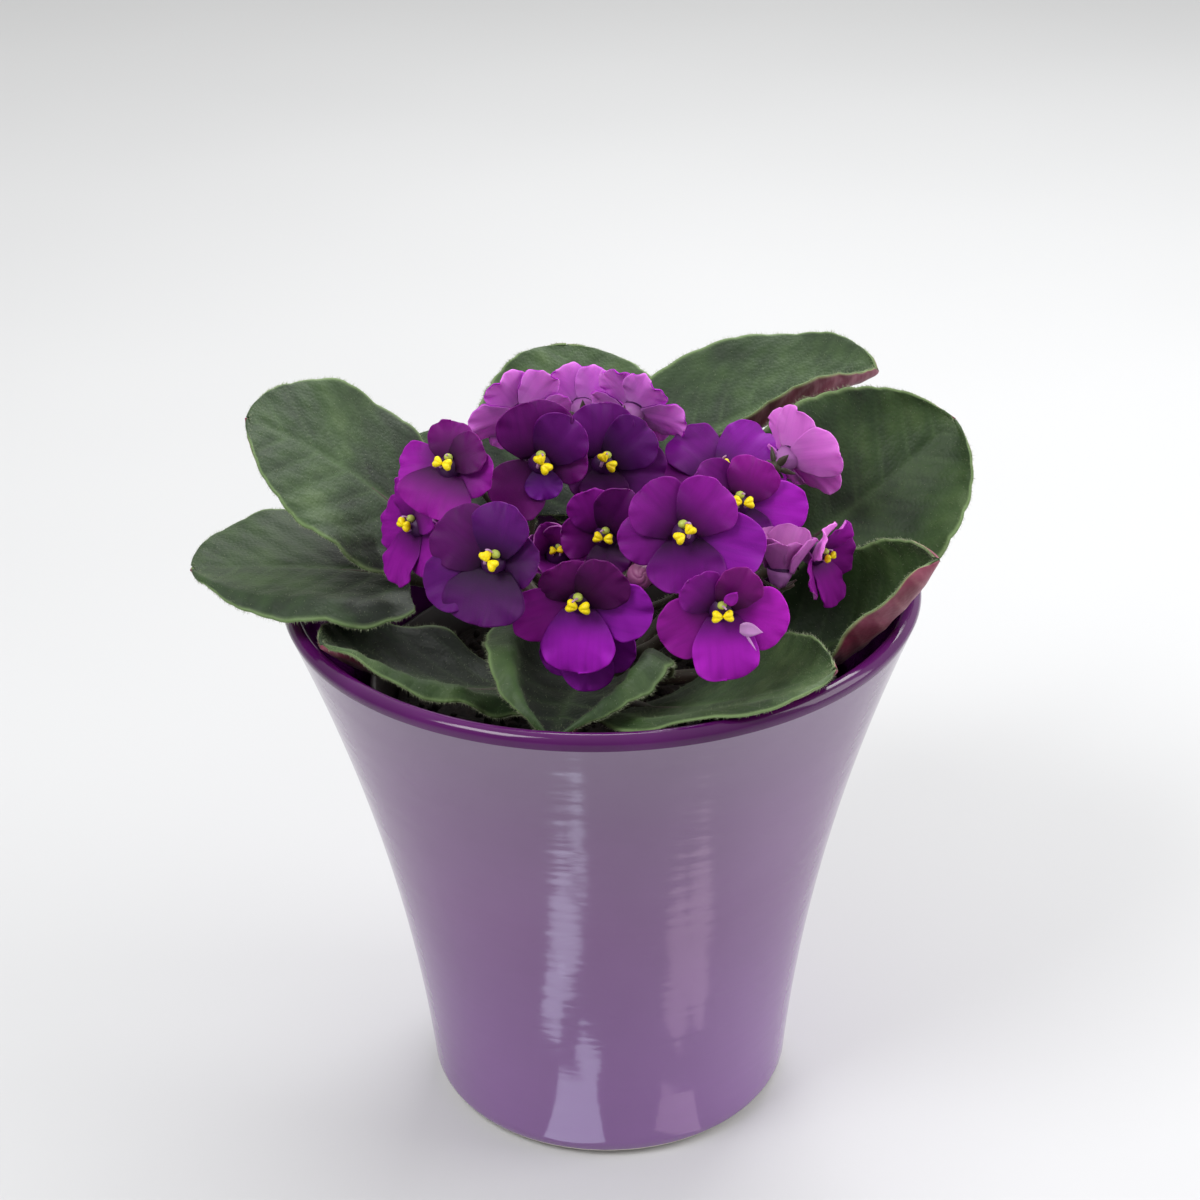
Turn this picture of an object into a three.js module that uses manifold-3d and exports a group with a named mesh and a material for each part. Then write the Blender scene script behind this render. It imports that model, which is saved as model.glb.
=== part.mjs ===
// A potted African violet: a flowering house plant in its nursery pot, stood in a glazed cover pot.
// Millimetres, +Z up, the front of the plant is -Y. The origin is the middle of the cover pot's flat
// underside. Headings are in degrees as seen from above: 0 points to the front, 90 to the right, 180 to
// the back and -90 to the left.
import * as THREE from "three";
import { mergeVertices } from "three/addons/utils/BufferGeometryUtils.js";
import Module from "manifold-3d";

const wasm = await Module();
wasm.setup();

// What the whole plant is worked out from.
const seatGap = 0.3; // clearance where one piece rests on another
const evenness = 0.12; // a joined solid's corners nearer than this to a flat face are left out
const sameCorner = 1e-4; // corners nearer to each other than this are one
const coverPot = {
  rimRadius: 80,
  baseRadius: 47,
  height: 145,
  wall: 4.4,
  floor: 6,
  footRound: 5,
  steps: 7, // rings of the outer wall
  sides: 36,
  flare: [0.345, 0.63, 0.025], // shares that grow with the height, its square and its fourth power
};
const nurseryPot = {
  rimRadius: 59,
  mouthRadius: 56,
  baseRadius: 37.5,
  height: 112,
  wall: 1.6,
  lipHeight: 9,
  drainRadius: 5,
  drainRing: 24,
  drains: 5,
  drainSides: 8,
  sides: 24,
};
const soil = { top: 110, mound: 3, crumb: 0.9, rings: 3, sides: 24 };
const crown = { foot: 98, shoulder: 116, top: 128, footRadius: 5, topRadius: 8, bevel: 2, sides: 12 };
const petioleRadius = 1.9;
const bladeThickness = { rib: 1.5, edge: 0.9 };
const petalThickness = 0.7;

// Leaves. foot is the height at which the stalk leaves the crown. heading and rise are the direction and
// the climb in degrees at the stalk's start, at the blade's start and at its tip. roll turns the blade
// round its own rib, fold bends up its two halves, and hem turns down their margins. The first of each
// pair is the half on the left of somebody who stands at the tip and faces the crown.
const leaves = [
  {
    name: "leaf_left_high",
    foot: 124,
    stalk: 48,
    length: 53,
    width: 54,
    heading: [-113, -84, -86],
    rise: [26, 51, 27],
    roll: -21,
    fold: [5, 2],
    hem: [0, 0],
  },
  {
    name: "leaf_left_low",
    foot: 120,
    stalk: 48,
    length: 53,
    width: 55,
    heading: [-88, -83, -79],
    rise: [58, 13, 3],
    roll: -3,
    fold: [6, 10],
    hem: [10, 40],
  },
  {
    name: "leaf_back_left",
    foot: 121,
    stalk: 38,
    length: 56,
    width: 55,
    heading: [-169, -179, -173],
    rise: [36, 33, 28],
    roll: 9,
    fold: [12, 2],
    hem: [0, 0],
  },
  {
    name: "leaf_back_right",
    foot: 125.5,
    stalk: 42,
    length: 68,
    width: 50,
    heading: [181, 128, 88],
    rise: [68, 25, 11],
    roll: 17,
    fold: [52, 10],
    hem: [0, 0],
  },
  {
    name: "leaf_right_high",
    foot: 122,
    stalk: 42,
    length: 57,
    width: 60,
    heading: [93, 110, 103],
    rise: [38, 26, 43],
    roll: 45,
    fold: [28, 17],
    hem: [0, 0],
  },
  {
    name: "leaf_right_low",
    foot: 119,
    stalk: 34,
    length: 60,
    width: 44,
    heading: [50, 89, 47],
    rise: [18, 12, 66],
    roll: 21,
    fold: [35, 55],
    hem: [0, 0],
  },
  {
    name: "leaf_front_right",
    foot: 118,
    stalk: 22,
    length: 61,
    width: 52,
    heading: [8, 32, 83],
    rise: [8, 22, 28],
    roll: -1,
    fold: [21, 17],
    hem: [30, 0],
  },
  {
    name: "leaf_front",
    foot: 122,
    stalk: 15,
    length: 45,
    width: 54,
    heading: [-5, -15, -8],
    rise: [40, 17, 2],
    roll: -7,
    fold: [56, 55],
    hem: [98, 97],
  },
  {
    name: "leaf_front_left",
    foot: 118.5,
    stalk: 21,
    length: 55,
    width: 46,
    heading: [-45, -67, -59],
    rise: [10, 13, 43],
    roll: 5,
    fold: [24, 22],
    hem: [0, 68],
  },
  {
    name: "leaf_back_low_left",
    foot: 119.5,
    stalk: 39,
    length: 57,
    width: 51,
    heading: [-134, -139, -136],
    rise: [44, 19, -5],
    roll: -4,
    fold: [10, 12],
    hem: [0, 0],
  },
  {
    name: "leaf_back_low",
    foot: 118,
    stalk: 39,
    length: 58,
    width: 51,
    heading: [169, 175, 176],
    rise: [42, 25, -9],
    roll: -9,
    fold: [10, 11],
    hem: [0, 0],
  },
  {
    name: "leaf_back_low_right",
    foot: 118.5,
    stalk: 40,
    length: 54,
    width: 48,
    heading: [127, 129, 127],
    rise: [40, 23, -7],
    roll: -7,
    fold: [13, 12],
    hem: [0, 0],
  },
];

// Blooms. at is the middle of the throat, face the heading and the climb of the way a bloom looks, twist
// its turn round that line, tilt the turn of its anthers, and cup how far its petals stand forward, in
// degrees.
const blooms = [
  { name: "bloom_left", at: [-35, -19, 184.2], face: [-25, 34], twist: 8, cup: 6, size: 0.88 },
  { name: "bloom_top_left", at: [-14, -12, 182], face: [4, 18], twist: 0, tilt: -65, cup: 14, size: 0.98 },
  { name: "bloom_top", at: [1, 2, 175], face: [6, 24], twist: 10, tilt: -40, cup: 8, size: 0.94 },
  { name: "bloom_far_left", at: [-43, -14, 166.5], face: [-60, 18], twist: 0, cup: 11, size: 0.85 },
  { name: "bloom_low_left", at: [-24.5, -42, 170.5], face: [-20, 29], twist: 20, tilt: -25, cup: 10, size: 1 },
  { name: "bloom_young", at: [-10.5, -14, 158], face: [-4, 41], twist: 0, cup: 60, size: 0.62 },
  { name: "bloom_middle", at: [1.2, -21.5, 167], face: [-8, 14], twist: 4, cup: 20, size: 0.85 },
  { name: "bloom_front_high", at: [19, -39.5, 176], face: [3, 24], twist: 2, tilt: 40, cup: 4, size: 1 },
  { name: "bloom_front_low", at: [-5, -43, 161], face: [-6, 4], twist: 0, cup: 10, size: 0.98 },
  { name: "bloom_front_right", at: [27, -55.5, 165], face: [1, 4], twist: -4, cup: 12, size: 0.9 },
  { name: "bloom_right", at: [32.6, -17, 172.6], face: [14, 24], twist: 4, cup: 8, size: 0.92 },
  { name: "bloom_right_back", at: [46, 3.2, 175], face: [134, 14], twist: 30, cup: 24, size: 0.82 },
  { name: "bloom_right_side", at: [50.4, -22.4, 161.8], face: [58, -2], twist: 0, cup: 30, size: 0.7 },
  { name: "bloom_right_young", at: [42, -31, 161.5], face: [150, 76], twist: 0, cup: 62, size: 0.64 },
  { name: "bloom_back_left", at: [-18.5, 14, 183], face: [-158, 22], twist: 0, cup: 10, size: 0.8 },
  { name: "bloom_back", at: [-4, 30, 177.5], face: [-178, 18], twist: 0, cup: 8, size: 0.8 },
  { name: "bloom_back_right", at: [8.5, 19, 181], face: [151, 28], twist: 0, cup: 9, size: 0.8 },
  { name: "bloom_behind", at: [30, 11, 166], face: [2, 60], twist: 0, cup: 7, size: 0.95 },
  { name: "bloom_under", at: [-3.5, -35.5, 148.3], face: [0, 5], twist: 0, cup: 33, size: 0.72 },
];

// Sprays: the flower stalks that carry the blooms. foot is the heading of the place on the crown where a
// stalk starts, fork the place where it parts, and carries the blooms with how far the start of each
// one's branch is lifted. buds are closed flowers.
const sprays = [
  {
    name: "spray_left",
    foot: -85,
    fork: [-18, -5, 150],
    carries: [["left", 2], ["far_left", 0], ["low_left", 0], ["top_left", 2]],
    buds: [],
  },
  {
    name: "spray_front",
    foot: 0,
    fork: [0, -26, 143],
    carries: [["front_low", -8], ["middle", 2], ["young", 1], ["under", -1]],
    buds: [{ at: [9, -41, 166], face: [10, 30], radius: 3.2, lift: 0 }],
  },
  {
    name: "spray_right",
    foot: 70,
    fork: [19.5, -12, 146],
    carries: [
      ["front_high", 2],
      ["front_right", -2],
      ["right", 2],
      ["right_young", -5],
      ["right_side", -6],
      ["right_back", 0],
    ],
    buds: [],
  },
  {
    name: "spray_back",
    foot: 160,
    fork: [5, 10, 152],
    carries: [["top", 2], ["back_left", 3], ["back", 3], ["back_right", 3], ["behind", 0]],
    buds: [],
  },
];

const rad = THREE.MathUtils.degToRad;
const mix = THREE.MathUtils.lerp;
const smooth = (x, from, to) => THREE.MathUtils.smoothstep(x, from, to);
const vec = (x, y, z) => new THREE.Vector3(x, y, z);

// The level direction of a heading, and the level direction to the right of somebody who faces back.
const ahead = (heading) => vec(Math.sin(rad(heading)), -Math.cos(rad(heading)), 0);
const aside = (heading) => vec(Math.cos(rad(heading)), Math.sin(rad(heading)), 0);

// A direction turned by an angle towards another that stands square to it.
const turnedBy = (from, towards, angle) =>
  from.clone().multiplyScalar(Math.cos(angle)).addScaledVector(towards, Math.sin(angle));

// A closed geometry from a list of points and a list of triangles.
function closedGeometry(points, triangles) {
  const geometry = new THREE.BufferGeometry();
  const numbers = points.flatMap((point) => point.toArray());
  geometry.setAttribute("position", new THREE.Float32BufferAttribute(numbers, 3));
  geometry.setIndex(triangles.flat());
  return geometry;
}

// A skin over closed rings of equal count. The first half of each ring is its upper side and the second
// half the same places on the lower side, in reverse, so that both sides split into matching triangles.
function loft(rings) {
  const count = rings[0].length;
  const half = count / 2;
  const triangles = [];
  const corner = (ring, k) => ring * count + (k % count);
  for (let i = 0; i + 1 < rings.length; i++) {
    for (let k = 0; k < count; k++) {
      const [a, b, c, d] = [corner(i, k), corner(i, k + 1), corner(i + 1, k + 1), corner(i + 1, k)];
      if (k < half) triangles.push([a, c, b], [a, d, c]);
      else triangles.push([a, d, b], [b, d, c]);
    }
  }
  const last = (rings.length - 1) * count;
  for (let k = 0; k + 1 < half; k++) {
    const [a, b, c, d] = [k, k + 1, count - 2 - k, count - 1 - k];
    triangles.push([a, b, c], [a, c, d]);
    triangles.push([last + a, last + c, last + b], [last + a, last + d, last + c]);
  }
  return closedGeometry(rings.flat(), triangles);
}

// A round section with the same order of points as a blade's ring.
function roundRing(centre, side, up, radius, count) {
  const ring = [];
  for (let k = 0; k < count; k++) {
    const angle = Math.PI - ((k + 0.5) / count) * 2 * Math.PI;
    const [out, high] = [radius * Math.cos(angle), radius * Math.sin(angle)];
    ring.push(centre.clone().addScaledVector(side, out).addScaledVector(up, high));
  }
  return ring;
}

// A closed mesh's geometry as a solid, and a solid's geometry again.
function solidOf(geometry) {
  const bare = geometry.clone();
  bare.deleteAttribute("normal");
  bare.deleteAttribute("uv");
  const merged = mergeVertices(bare, sameCorner);
  return new wasm.Manifold(
    new wasm.Mesh({
      numProp: 3,
      vertProperties: new Float32Array(merged.attributes.position.array),
      triVerts: new Uint32Array(merged.index.array),
    }),
  );
}

function geometryOf(solid) {
  const mesh = solid.asOriginal().simplify(evenness).getMesh();
  const points = new Float32Array(mesh.numVert * 3);
  for (let i = 0; i < mesh.numVert; i++) {
    points.set(mesh.vertProperties.subarray(i * mesh.numProp, i * mesh.numProp + 3), i * 3);
  }
  const geometry = new THREE.BufferGeometry();
  geometry.setAttribute("position", new THREE.BufferAttribute(points, 3));
  geometry.setIndex(new THREE.BufferAttribute(mesh.triVerts, 1));
  return geometry;
}

// A body turned round the upright axis from [radius, height] pairs that start and end on the axis.
function turned(profile, sides) {
  const points = profile.map(([radius, z]) => new THREE.Vector2(radius, z));
  const geometry = new THREE.LatheGeometry(points, sides);
  geometry.rotateX(Math.PI / 2);
  return geometry;
}

// Cover pot.

function flareRadius(z) {
  const [first, second, fourth] = coverPot.flare;
  const u = z / coverPot.height;
  const share = first * u + second * u ** 2 + fourth * u ** 4;
  return coverPot.baseRadius + (coverPot.rimRadius - coverPot.baseRadius) * share;
}

function coverPotGeometry() {
  const { height, wall, floor, footRound, steps, sides } = coverPot;
  const profile = [[0, 0]];
  for (const turn of [0, 45, 90]) {
    const z = footRound * (1 - Math.cos(rad(turn)));
    profile.push([flareRadius(z) - footRound * (1 - Math.sin(rad(turn))), z]);
  }
  const lip = wall / 2;
  for (let i = 1; i <= steps; i++) {
    const z = mix(footRound, height - lip, i / steps);
    profile.push([flareRadius(z), z]);
  }
  for (const turn of [45, 90, 135]) {
    const middle = flareRadius(height - lip) - lip;
    profile.push([middle + lip * Math.cos(rad(turn)), height - lip + lip * Math.sin(rad(turn))]);
  }
  const innerSteps = steps - 2;
  for (let i = 0; i <= innerSteps; i++) {
    const z = mix(height - lip, floor + footRound, i / innerSteps);
    profile.push([flareRadius(z) - wall, z]);
  }
  profile.push([flareRadius(floor) - wall - footRound, floor], [0, floor]);
  return turned(profile, sides);
}

// Nursery pot.

function nurseryPotGeometry() {
  const { rimRadius, mouthRadius, baseRadius, height, wall, lipHeight, sides } = nurseryPot;
  const { drainRadius, drainRing, drains, drainSides } = nurseryPot;
  const foot = coverPot.floor + seatGap;
  const top = foot + height;
  const shell = turned(
    [
      [0, foot],
      [baseRadius, foot],
      [mouthRadius, top - lipHeight],
      [rimRadius, top - lipHeight],
      [rimRadius, top],
      [rimRadius - wall, top],
      [mouthRadius - wall, top - lipHeight],
      [baseRadius - wall, foot + wall],
      [0, foot + wall],
    ],
    sides,
  );
  let pot = solidOf(shell);
  for (let i = 0; i < drains; i++) {
    const angle = (i / drains) * 2 * Math.PI;
    const drill = new THREE.CylinderGeometry(drainRadius, drainRadius, 4 * wall, drainSides);
    drill.rotateX(Math.PI / 2);
    drill.translate(drainRing * Math.cos(angle), drainRing * Math.sin(angle), foot);
    pot = pot.subtract(solidOf(drill));
  }
  return geometryOf(pot);
}

// Soil.

function soilGeometry() {
  const { top, mound, crumb, rings, sides } = soil;
  const foot = coverPot.floor + nurseryPot.wall + 2 * seatGap;
  const potTop = coverPot.floor + seatGap + nurseryPot.height - nurseryPot.lipHeight;
  const wallAt = (z) => {
    const share = (z - foot) / (potTop - foot);
    return mix(nurseryPot.baseRadius, nurseryPot.mouthRadius, share) - nurseryPot.wall - 3 * seatGap;
  };
  const shoulder = potTop - 1;
  const edge = wallAt(shoulder);
  const profile = [
    [0, foot],
    [wallAt(foot), foot],
    [edge, shoulder],
  ];
  for (let i = 0; i < rings; i++) {
    const share = 1 - i / rings;
    profile.push([(edge - 1) * share, top + mound * (1 - share ** 2)]);
  }
  profile.push([0, top + mound]);
  const body = turned(profile, sides);
  const place = body.attributes.position;
  for (let i = 0; i < place.count; i++) {
    const [x, y, z] = [place.getX(i), place.getY(i), place.getZ(i)];
    const onTop = z > shoulder + 1;
    if (onTop) place.setZ(i, z + crumb * Math.sin(0.41 * x + 1.3) * Math.cos(0.37 * y - 0.4));
  }
  const deep = crown.shoulder - crown.foot + seatGap;
  const [wide, narrow] = [crown.topRadius + 2 * seatGap, crown.footRadius + 2 * seatGap];
  const hole = new THREE.CylinderGeometry(wide, narrow, deep, crown.sides);
  hole.rotateX(Math.PI / 2).translate(0, 0, crown.shoulder - deep / 2);
  return geometryOf(solidOf(body).subtract(solidOf(hole)));
}

// Crown: the short stem that the leaves and flower stalks grow from.

function crownGeometry() {
  const { foot, shoulder, top, footRadius, topRadius, bevel, sides } = crown;
  return turned(
    [
      [0, foot],
      [footRadius, foot],
      [topRadius, shoulder],
      [topRadius, top - bevel],
      [topRadius - bevel, top],
      [0, top],
    ],
    sides,
  );
}

// Leaves.

const petioleStations = [0, 0.45, 0.93];
const bladeStations = [0, 0.07, 0.18, 0.32, 0.47, 0.62, 0.76, 0.88, 0.96, 1];
const bladeSides = [-1, -0.76, -0.4, 0, 0.4, 0.76, 1];
const hemSide = 0.76; // where a margin starts to turn down, as a share of the half width
const notch = 0.975; // every other row is narrower by this, for a toothed margin
const lobeDepth = 0.1; // how far a blade reaches back beside its stalk, as a share of its length
const wave = { height: 0.8, count: 2.2, offset: 0.2 }; // the margin's waves from stalk to tip
const swell = 1.8; // how much thicker the blade is where the stalk enters it

// The half width of a blade as a share of its greatest, from the stalk at 0 to the tip at 1.
function bladeOutline(t) {
  const drawn = t ** 0.8;
  return Math.max(2 * Math.sqrt(Math.max(drawn * (1 - drawn), 0)), 0.12);
}

// The place and the directions of the rib at a distance along stalk and blade.
function ribPath(leaf) {
  const { foot, stalk, length, heading, rise } = leaf;
  const between = (ends, along) => {
    if (along < stalk) return mix(ends[0], ends[1], along / stalk);
    return mix(ends[1], ends[2], (along - stalk) / length);
  };
  const directions = (along) => {
    const turn = between(heading, along);
    const climb = rad(between(rise, along));
    const forward = turnedBy(ahead(turn), vec(0, 0, 1), climb);
    const side = aside(turn);
    return { forward, side, up: forward.clone().cross(side) };
  };
  const start = crown.topRadius + seatGap + petioleRadius * Math.sin(rad(rise[0]));
  const places = [ahead(heading[0]).multiplyScalar(start).setZ(foot)];
  for (let along = 0; along <= stalk + length + 1; along++) {
    places.push(places[along].clone().add(directions(along).forward));
  }
  return (along) => {
    const index = Math.min(Math.floor(along), places.length - 2);
    return { place: places[index].clone().lerp(places[index + 1], along - index), ...directions(along) };
  };
}

// How far out and how far up a point of a blade's section lies, for a share s of its half width.
function bladeSection(s, half, fold, hem) {
  const reach = Math.min(Math.abs(s), hemSide);
  const bend = rad(fold) * reach;
  const beyond = (Math.abs(s) - reach) * half;
  const margin = 2 * bend - rad(hem);
  return {
    out: Math.sign(s) * (half * reach * Math.cos(bend) + beyond * Math.cos(margin)),
    up: half * reach * Math.sin(bend) + beyond * Math.sin(margin),
  };
}

function leafGeometry(leaf) {
  const { stalk, length, width, roll, fold, hem } = leaf;
  const rib = ribPath(leaf);
  const rings = [];
  const count = 2 * bladeSides.length;
  for (const share of petioleStations) {
    const { place, side, up } = rib(stalk * share);
    rings.push(roundRing(place, side, up, petioleRadius, count));
  }
  for (const [row, t] of bladeStations.entries()) {
    const frame = rib(stalk + length * t);
    const turn = rad(roll) * smooth(t, 0, 0.15);
    const side = turnedBy(frame.side, frame.up, turn);
    const up = turnedBy(frame.up, frame.side, -turn);
    const toothed = (width / 2) * bladeOutline(t) * (row % 2 ? 1 : notch);
    const half = Math.max(toothed, petioleRadius * 1.2);
    const opened = smooth(t, 0, 0.25);
    const point = (s, face) => {
      const hand = s < 0 ? 0 : 1;
      const section = bladeSection(s, half, fold[hand] * opened, hem[hand] * opened);
      const lobe = lobeDepth * length * (1 - t) ** 4 * s * s * smooth(t, 0, 0.08);
      const swing = Math.sin(2 * Math.PI * (wave.count * t + wave.offset * Math.sign(s)));
      const waved = wave.height * swing * s * s * opened;
      const thick = mix(bladeThickness.rib, bladeThickness.edge, Math.abs(s)) * (row === 0 ? swell : 1);
      return frame.place
        .clone()
        .addScaledVector(side, section.out)
        .addScaledVector(up, section.up + waved + (face * thick) / 2)
        .addScaledVector(frame.forward, -lobe);
    };
    const upper = bladeSides.map((s) => point(s, 1));
    const lower = bladeSides.map((s) => point(s, -1)).reverse();
    rings.push([...upper, ...lower]);
  }
  return loft(rings);
}

// Blooms.

const petals = [
  { angle: 200, length: 15.5, width: 15.5, layer: 0 },
  { angle: 340, length: 15.5, width: 15.5, layer: 0 },
  { angle: 270, length: 16.5, width: 16, layer: 1 },
  { angle: 124, length: 13.5, width: 14, layer: 1 },
  { angle: 56, length: 13.5, width: 14, layer: 2 },
];
const petalStations = [0, 0.3, 0.58, 0.84, 1];
const petalRoot = 1.45; // distance from the bloom's axis at which a petal starts
const petalBow = 12; // a petal starts steeper than its cup and ends flatter by this, in degrees
const layerStep = 1;
const topLayer = Math.max(...petals.map((petal) => petal.layer));
const throat = { top: 3.6, depth: 4, rimRadius: 3.3, footRadius: 1.8, sides: 5 };

// The directions of a bloom: the way it looks, its own up and its own right.
function bloomFrame(bloom) {
  const { at, face, twist } = bloom;
  const looks = turnedBy(ahead(face[0]), vec(0, 0, 1), rad(face[1]));
  const upright = vec(0, 0, 1).addScaledVector(looks, -looks.z).normalize();
  const up = turnedBy(upright, upright.clone().cross(looks), rad(twist));
  return { at: vec(...at), looks, up, right: up.clone().cross(looks) };
}

// The half width of a petal as a share of its greatest, from its root at 0 to its end at 1.
function petalOutline(t) {
  const widest = 0.56;
  const [rootShare, endShare] = [0.25, 0.34];
  if (t < widest) return mix(rootShare, 1, Math.sin(((t / widest) * Math.PI) / 2));
  return Math.max(Math.sqrt(1 - ((t - widest) / (1 - widest)) ** 2), endShare);
}

function petalGeometry(frame, petal, cup, size) {
  const { looks, up, right, at } = frame;
  const outward = turnedBy(right, up, rad(petal.angle));
  const side = looks.clone().cross(outward);
  const steps = 20;
  const step = (petal.length * size) / steps;
  const inward = turnedBy(looks, outward, -rad(cup));
  const root = petalRoot + topLayer * layerStep * Math.sin(rad(cup));
  const place = at.clone().addScaledVector(outward, root);
  place.addScaledVector(inward, petal.layer * layerStep);
  const hollow = 0.03 + 0.4 * Math.sin(rad(cup)) ** 2; // a cupped bloom's petals are hollow as spoons
  const rings = [];
  for (let i = 0; i <= steps; i++) {
    const t = i / steps;
    const forward = turnedBy(outward, looks, rad(mix(cup + petalBow, cup - petalBow, t)));
    const top = forward.clone().cross(side);
    const station = petalStations.find((wanted) => Math.abs(wanted - t) < 0.5 / steps);
    if (station !== undefined) {
      const half = (petal.width / 2) * size * petalOutline(station);
      const point = (s, face) =>
        place
          .clone()
          .addScaledVector(side, half * s)
          .addScaledVector(top, hollow * half * s * s + (face * petalThickness) / 2);
      const upper = [-1, 0, 1].map((s) => point(s, 1));
      const lower = [1, 0, -1].map((s) => point(s, -1));
      rings.push([...upper, ...lower]);
    }
    place.addScaledVector(forward, step);
  }
  return loft(rings);
}

// A geometry built round the upright axis, moved so that its axis looks the way a bloom looks.
function toBloom(geometry, frame, forward) {
  const turn = new THREE.Matrix4().makeBasis(frame.right, frame.up, frame.looks);
  geometry.applyMatrix4(turn);
  const place = frame.at.clone().addScaledVector(frame.looks, forward);
  return geometry.translate(place.x, place.y, place.z);
}

function bloomGeometry(bloom) {
  const { cup, size } = bloom;
  const frame = bloomFrame(bloom);
  const tube = turned(
    [
      [0, -throat.depth],
      [throat.footRadius, -throat.depth],
      [throat.rimRadius, 0],
      [throat.rimRadius, throat.top],
      [0, throat.top],
    ],
    throat.sides,
  );
  tube.rotateZ(Math.PI / throat.sides);
  let solid = solidOf(toBloom(tube, frame, 0));
  for (const petal of petals) solid = solid.add(solidOf(petalGeometry(frame, petal, cup, size)));
  return geometryOf(solid);
}

// Anthers: two joined yellow lobes before the throat.

const anther = { radius: 1.7, apart: 0.8, stretch: 1.15 };

function antherGeometry(bloom) {
  const frame = bloomFrame(bloom);
  const radius = anther.radius * bloom.size;
  const lobes = [-1, 1].map((s) => {
    const lobe = new THREE.IcosahedronGeometry(radius, 0);
    lobe.scale(1, anther.stretch, 1).translate(s * anther.apart * radius, 0, 0);
    lobe.rotateZ(rad(bloom.tilt ?? 0));
    return solidOf(toBloom(lobe, frame, throat.top + seatGap + radius));
  });
  return geometryOf(lobes[0].add(lobes[1]));
}

// Sprays.

const stalkStem = { radius: 1.2, sides: 6, steps: 5 };
const branchStem = { radius: 0.8, sides: 5, steps: 3 };
const stalkInset = 3.6; // how far inside the crown's edge a stalk starts
const stalkClimb = 9; // how far a stalk first goes straight up
const knotRadius = 2.2; // the swelling where a stalk forks

// A round stem along a curve, with closed ends.
function stemGeometry(curve, { radius, sides, steps }) {
  const outline = Array.from({ length: sides }, (unused, k) => {
    const angle = (k / sides) * 2 * Math.PI;
    return new THREE.Vector2(radius * Math.cos(angle), radius * Math.sin(angle));
  });
  return new THREE.ExtrudeGeometry(new THREE.Shape(outline), { steps, extrudePath: curve });
}

const calyx = { points: 5, tipRadius: 4.2, notchRadius: 1.9, thickness: 0.7, forward: 0.8 };

// A star of pointed sepals round the upright axis, its upper face at height 0.
function calyxGeometry() {
  const { points, tipRadius, notchRadius, thickness, forward } = calyx;
  const count = 2 * points;
  const rim = (level) =>
    Array.from({ length: count }, (unused, k) => {
      const angle = (k / count) * 2 * Math.PI;
      const radius = k % 2 ? notchRadius : tipRadius;
      return vec(radius * Math.cos(angle), radius * Math.sin(angle), level + (k % 2 ? 0 : forward));
    });
  const places = [...rim(0), ...rim(-thickness), vec(0, 0, 0), vec(0, 0, -thickness)];
  const triangles = [];
  for (let k = 0; k < count; k++) {
    const next = (k + 1) % count;
    triangles.push([k, next, 2 * count], [count + next, count + k, 2 * count + 1]);
    triangles.push([k, count + k, count + next], [k, count + next, next]);
  }
  return closedGeometry(places, triangles);
}

// A branch from a fork to a place that it reaches in the direction in which a flower looks.
function branchCurve(fork, end, looks, lift) {
  const reach = end.distanceTo(fork) * 0.45;
  const first = fork.clone().lerp(end, 0.3).add(vec(0, 0, lift));
  return new THREE.CubicBezierCurve3(fork, first, end.clone().addScaledVector(looks, -reach), end);
}

function sprayGeometry(spray) {
  const fork = vec(...spray.fork);
  const start = ahead(spray.foot).multiplyScalar(crown.topRadius - stalkInset).setZ(crown.top + seatGap);
  const risen = start.clone().setZ(crown.top + stalkClimb);
  const stalk = new THREE.CubicBezierCurve3(start, risen, fork.clone().lerp(start, 0.35), fork);
  let solid = solidOf(stemGeometry(stalk, stalkStem));
  solid = solid.add(solidOf(new THREE.OctahedronGeometry(knotRadius, 0).translate(...spray.fork)));
  for (const [name, lift] of spray.carries) {
    const bloom = blooms.find((candidate) => candidate.name === `bloom_${name}`);
    const frame = bloomFrame(bloom);
    const back = -(throat.depth + seatGap);
    const end = frame.at.clone().addScaledVector(frame.looks, back - calyx.thickness / 2);
    solid = solid.add(solidOf(stemGeometry(branchCurve(fork, end, frame.looks, lift), branchStem)));
    solid = solid.add(solidOf(toBloom(calyxGeometry(), frame, back)));
  }
  for (const bud of spray.buds) {
    const frame = bloomFrame({ ...bud, twist: 0 });
    const curve = branchCurve(fork, frame.at, frame.looks, bud.lift);
    solid = solid.add(solidOf(stemGeometry(curve, branchStem)));
    const body = new THREE.SphereGeometry(bud.radius, 8, 6);
    solid = solid.add(solidOf(body.translate(...bud.at)));
  }
  return geometryOf(solid);
}

const group = new THREE.Group();
const looks = {
  glaze: { color: 0x8a6c96, roughness: 0.15, metalness: 0 },
  plastic: { color: 0x2a2320, roughness: 0.5, metalness: 0 },
  earth: { color: 0x2b2019, roughness: 0.95, metalness: 0 },
  stem: { color: 0x5b6b3a, roughness: 0.7, metalness: 0 },
  leaf: { color: 0x3f5a37, roughness: 0.7, metalness: 0 },
  petal: { color: 0x7a1a93, roughness: 0.6, metalness: 0 },
  anther: { color: 0xf2d312, roughness: 0.7, metalness: 0 },
};

function add(name, geometry, look) {
  geometry.computeVertexNormals();
  const mesh = new THREE.Mesh(geometry, new THREE.MeshStandardMaterial(looks[look]));
  mesh.name = name;
  group.add(mesh);
}

add("cover_pot", coverPotGeometry(), "glaze");
add("nursery_pot", nurseryPotGeometry(), "plastic");
add("soil", soilGeometry(), "earth");
add("crown", crownGeometry(), "stem");
for (const leaf of leaves) add(leaf.name, leafGeometry(leaf), "leaf");
for (const spray of sprays) add(spray.name, sprayGeometry(spray), "stem");
for (const bloom of blooms) {
  add(bloom.name, bloomGeometry(bloom), "petal");
  add(bloom.name.replace("bloom", "anthers"), antherGeometry(bloom), "anther");
}

export default group;
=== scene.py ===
import math

import bpy
import numpy as np
from mathutils import Matrix, Vector


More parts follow.
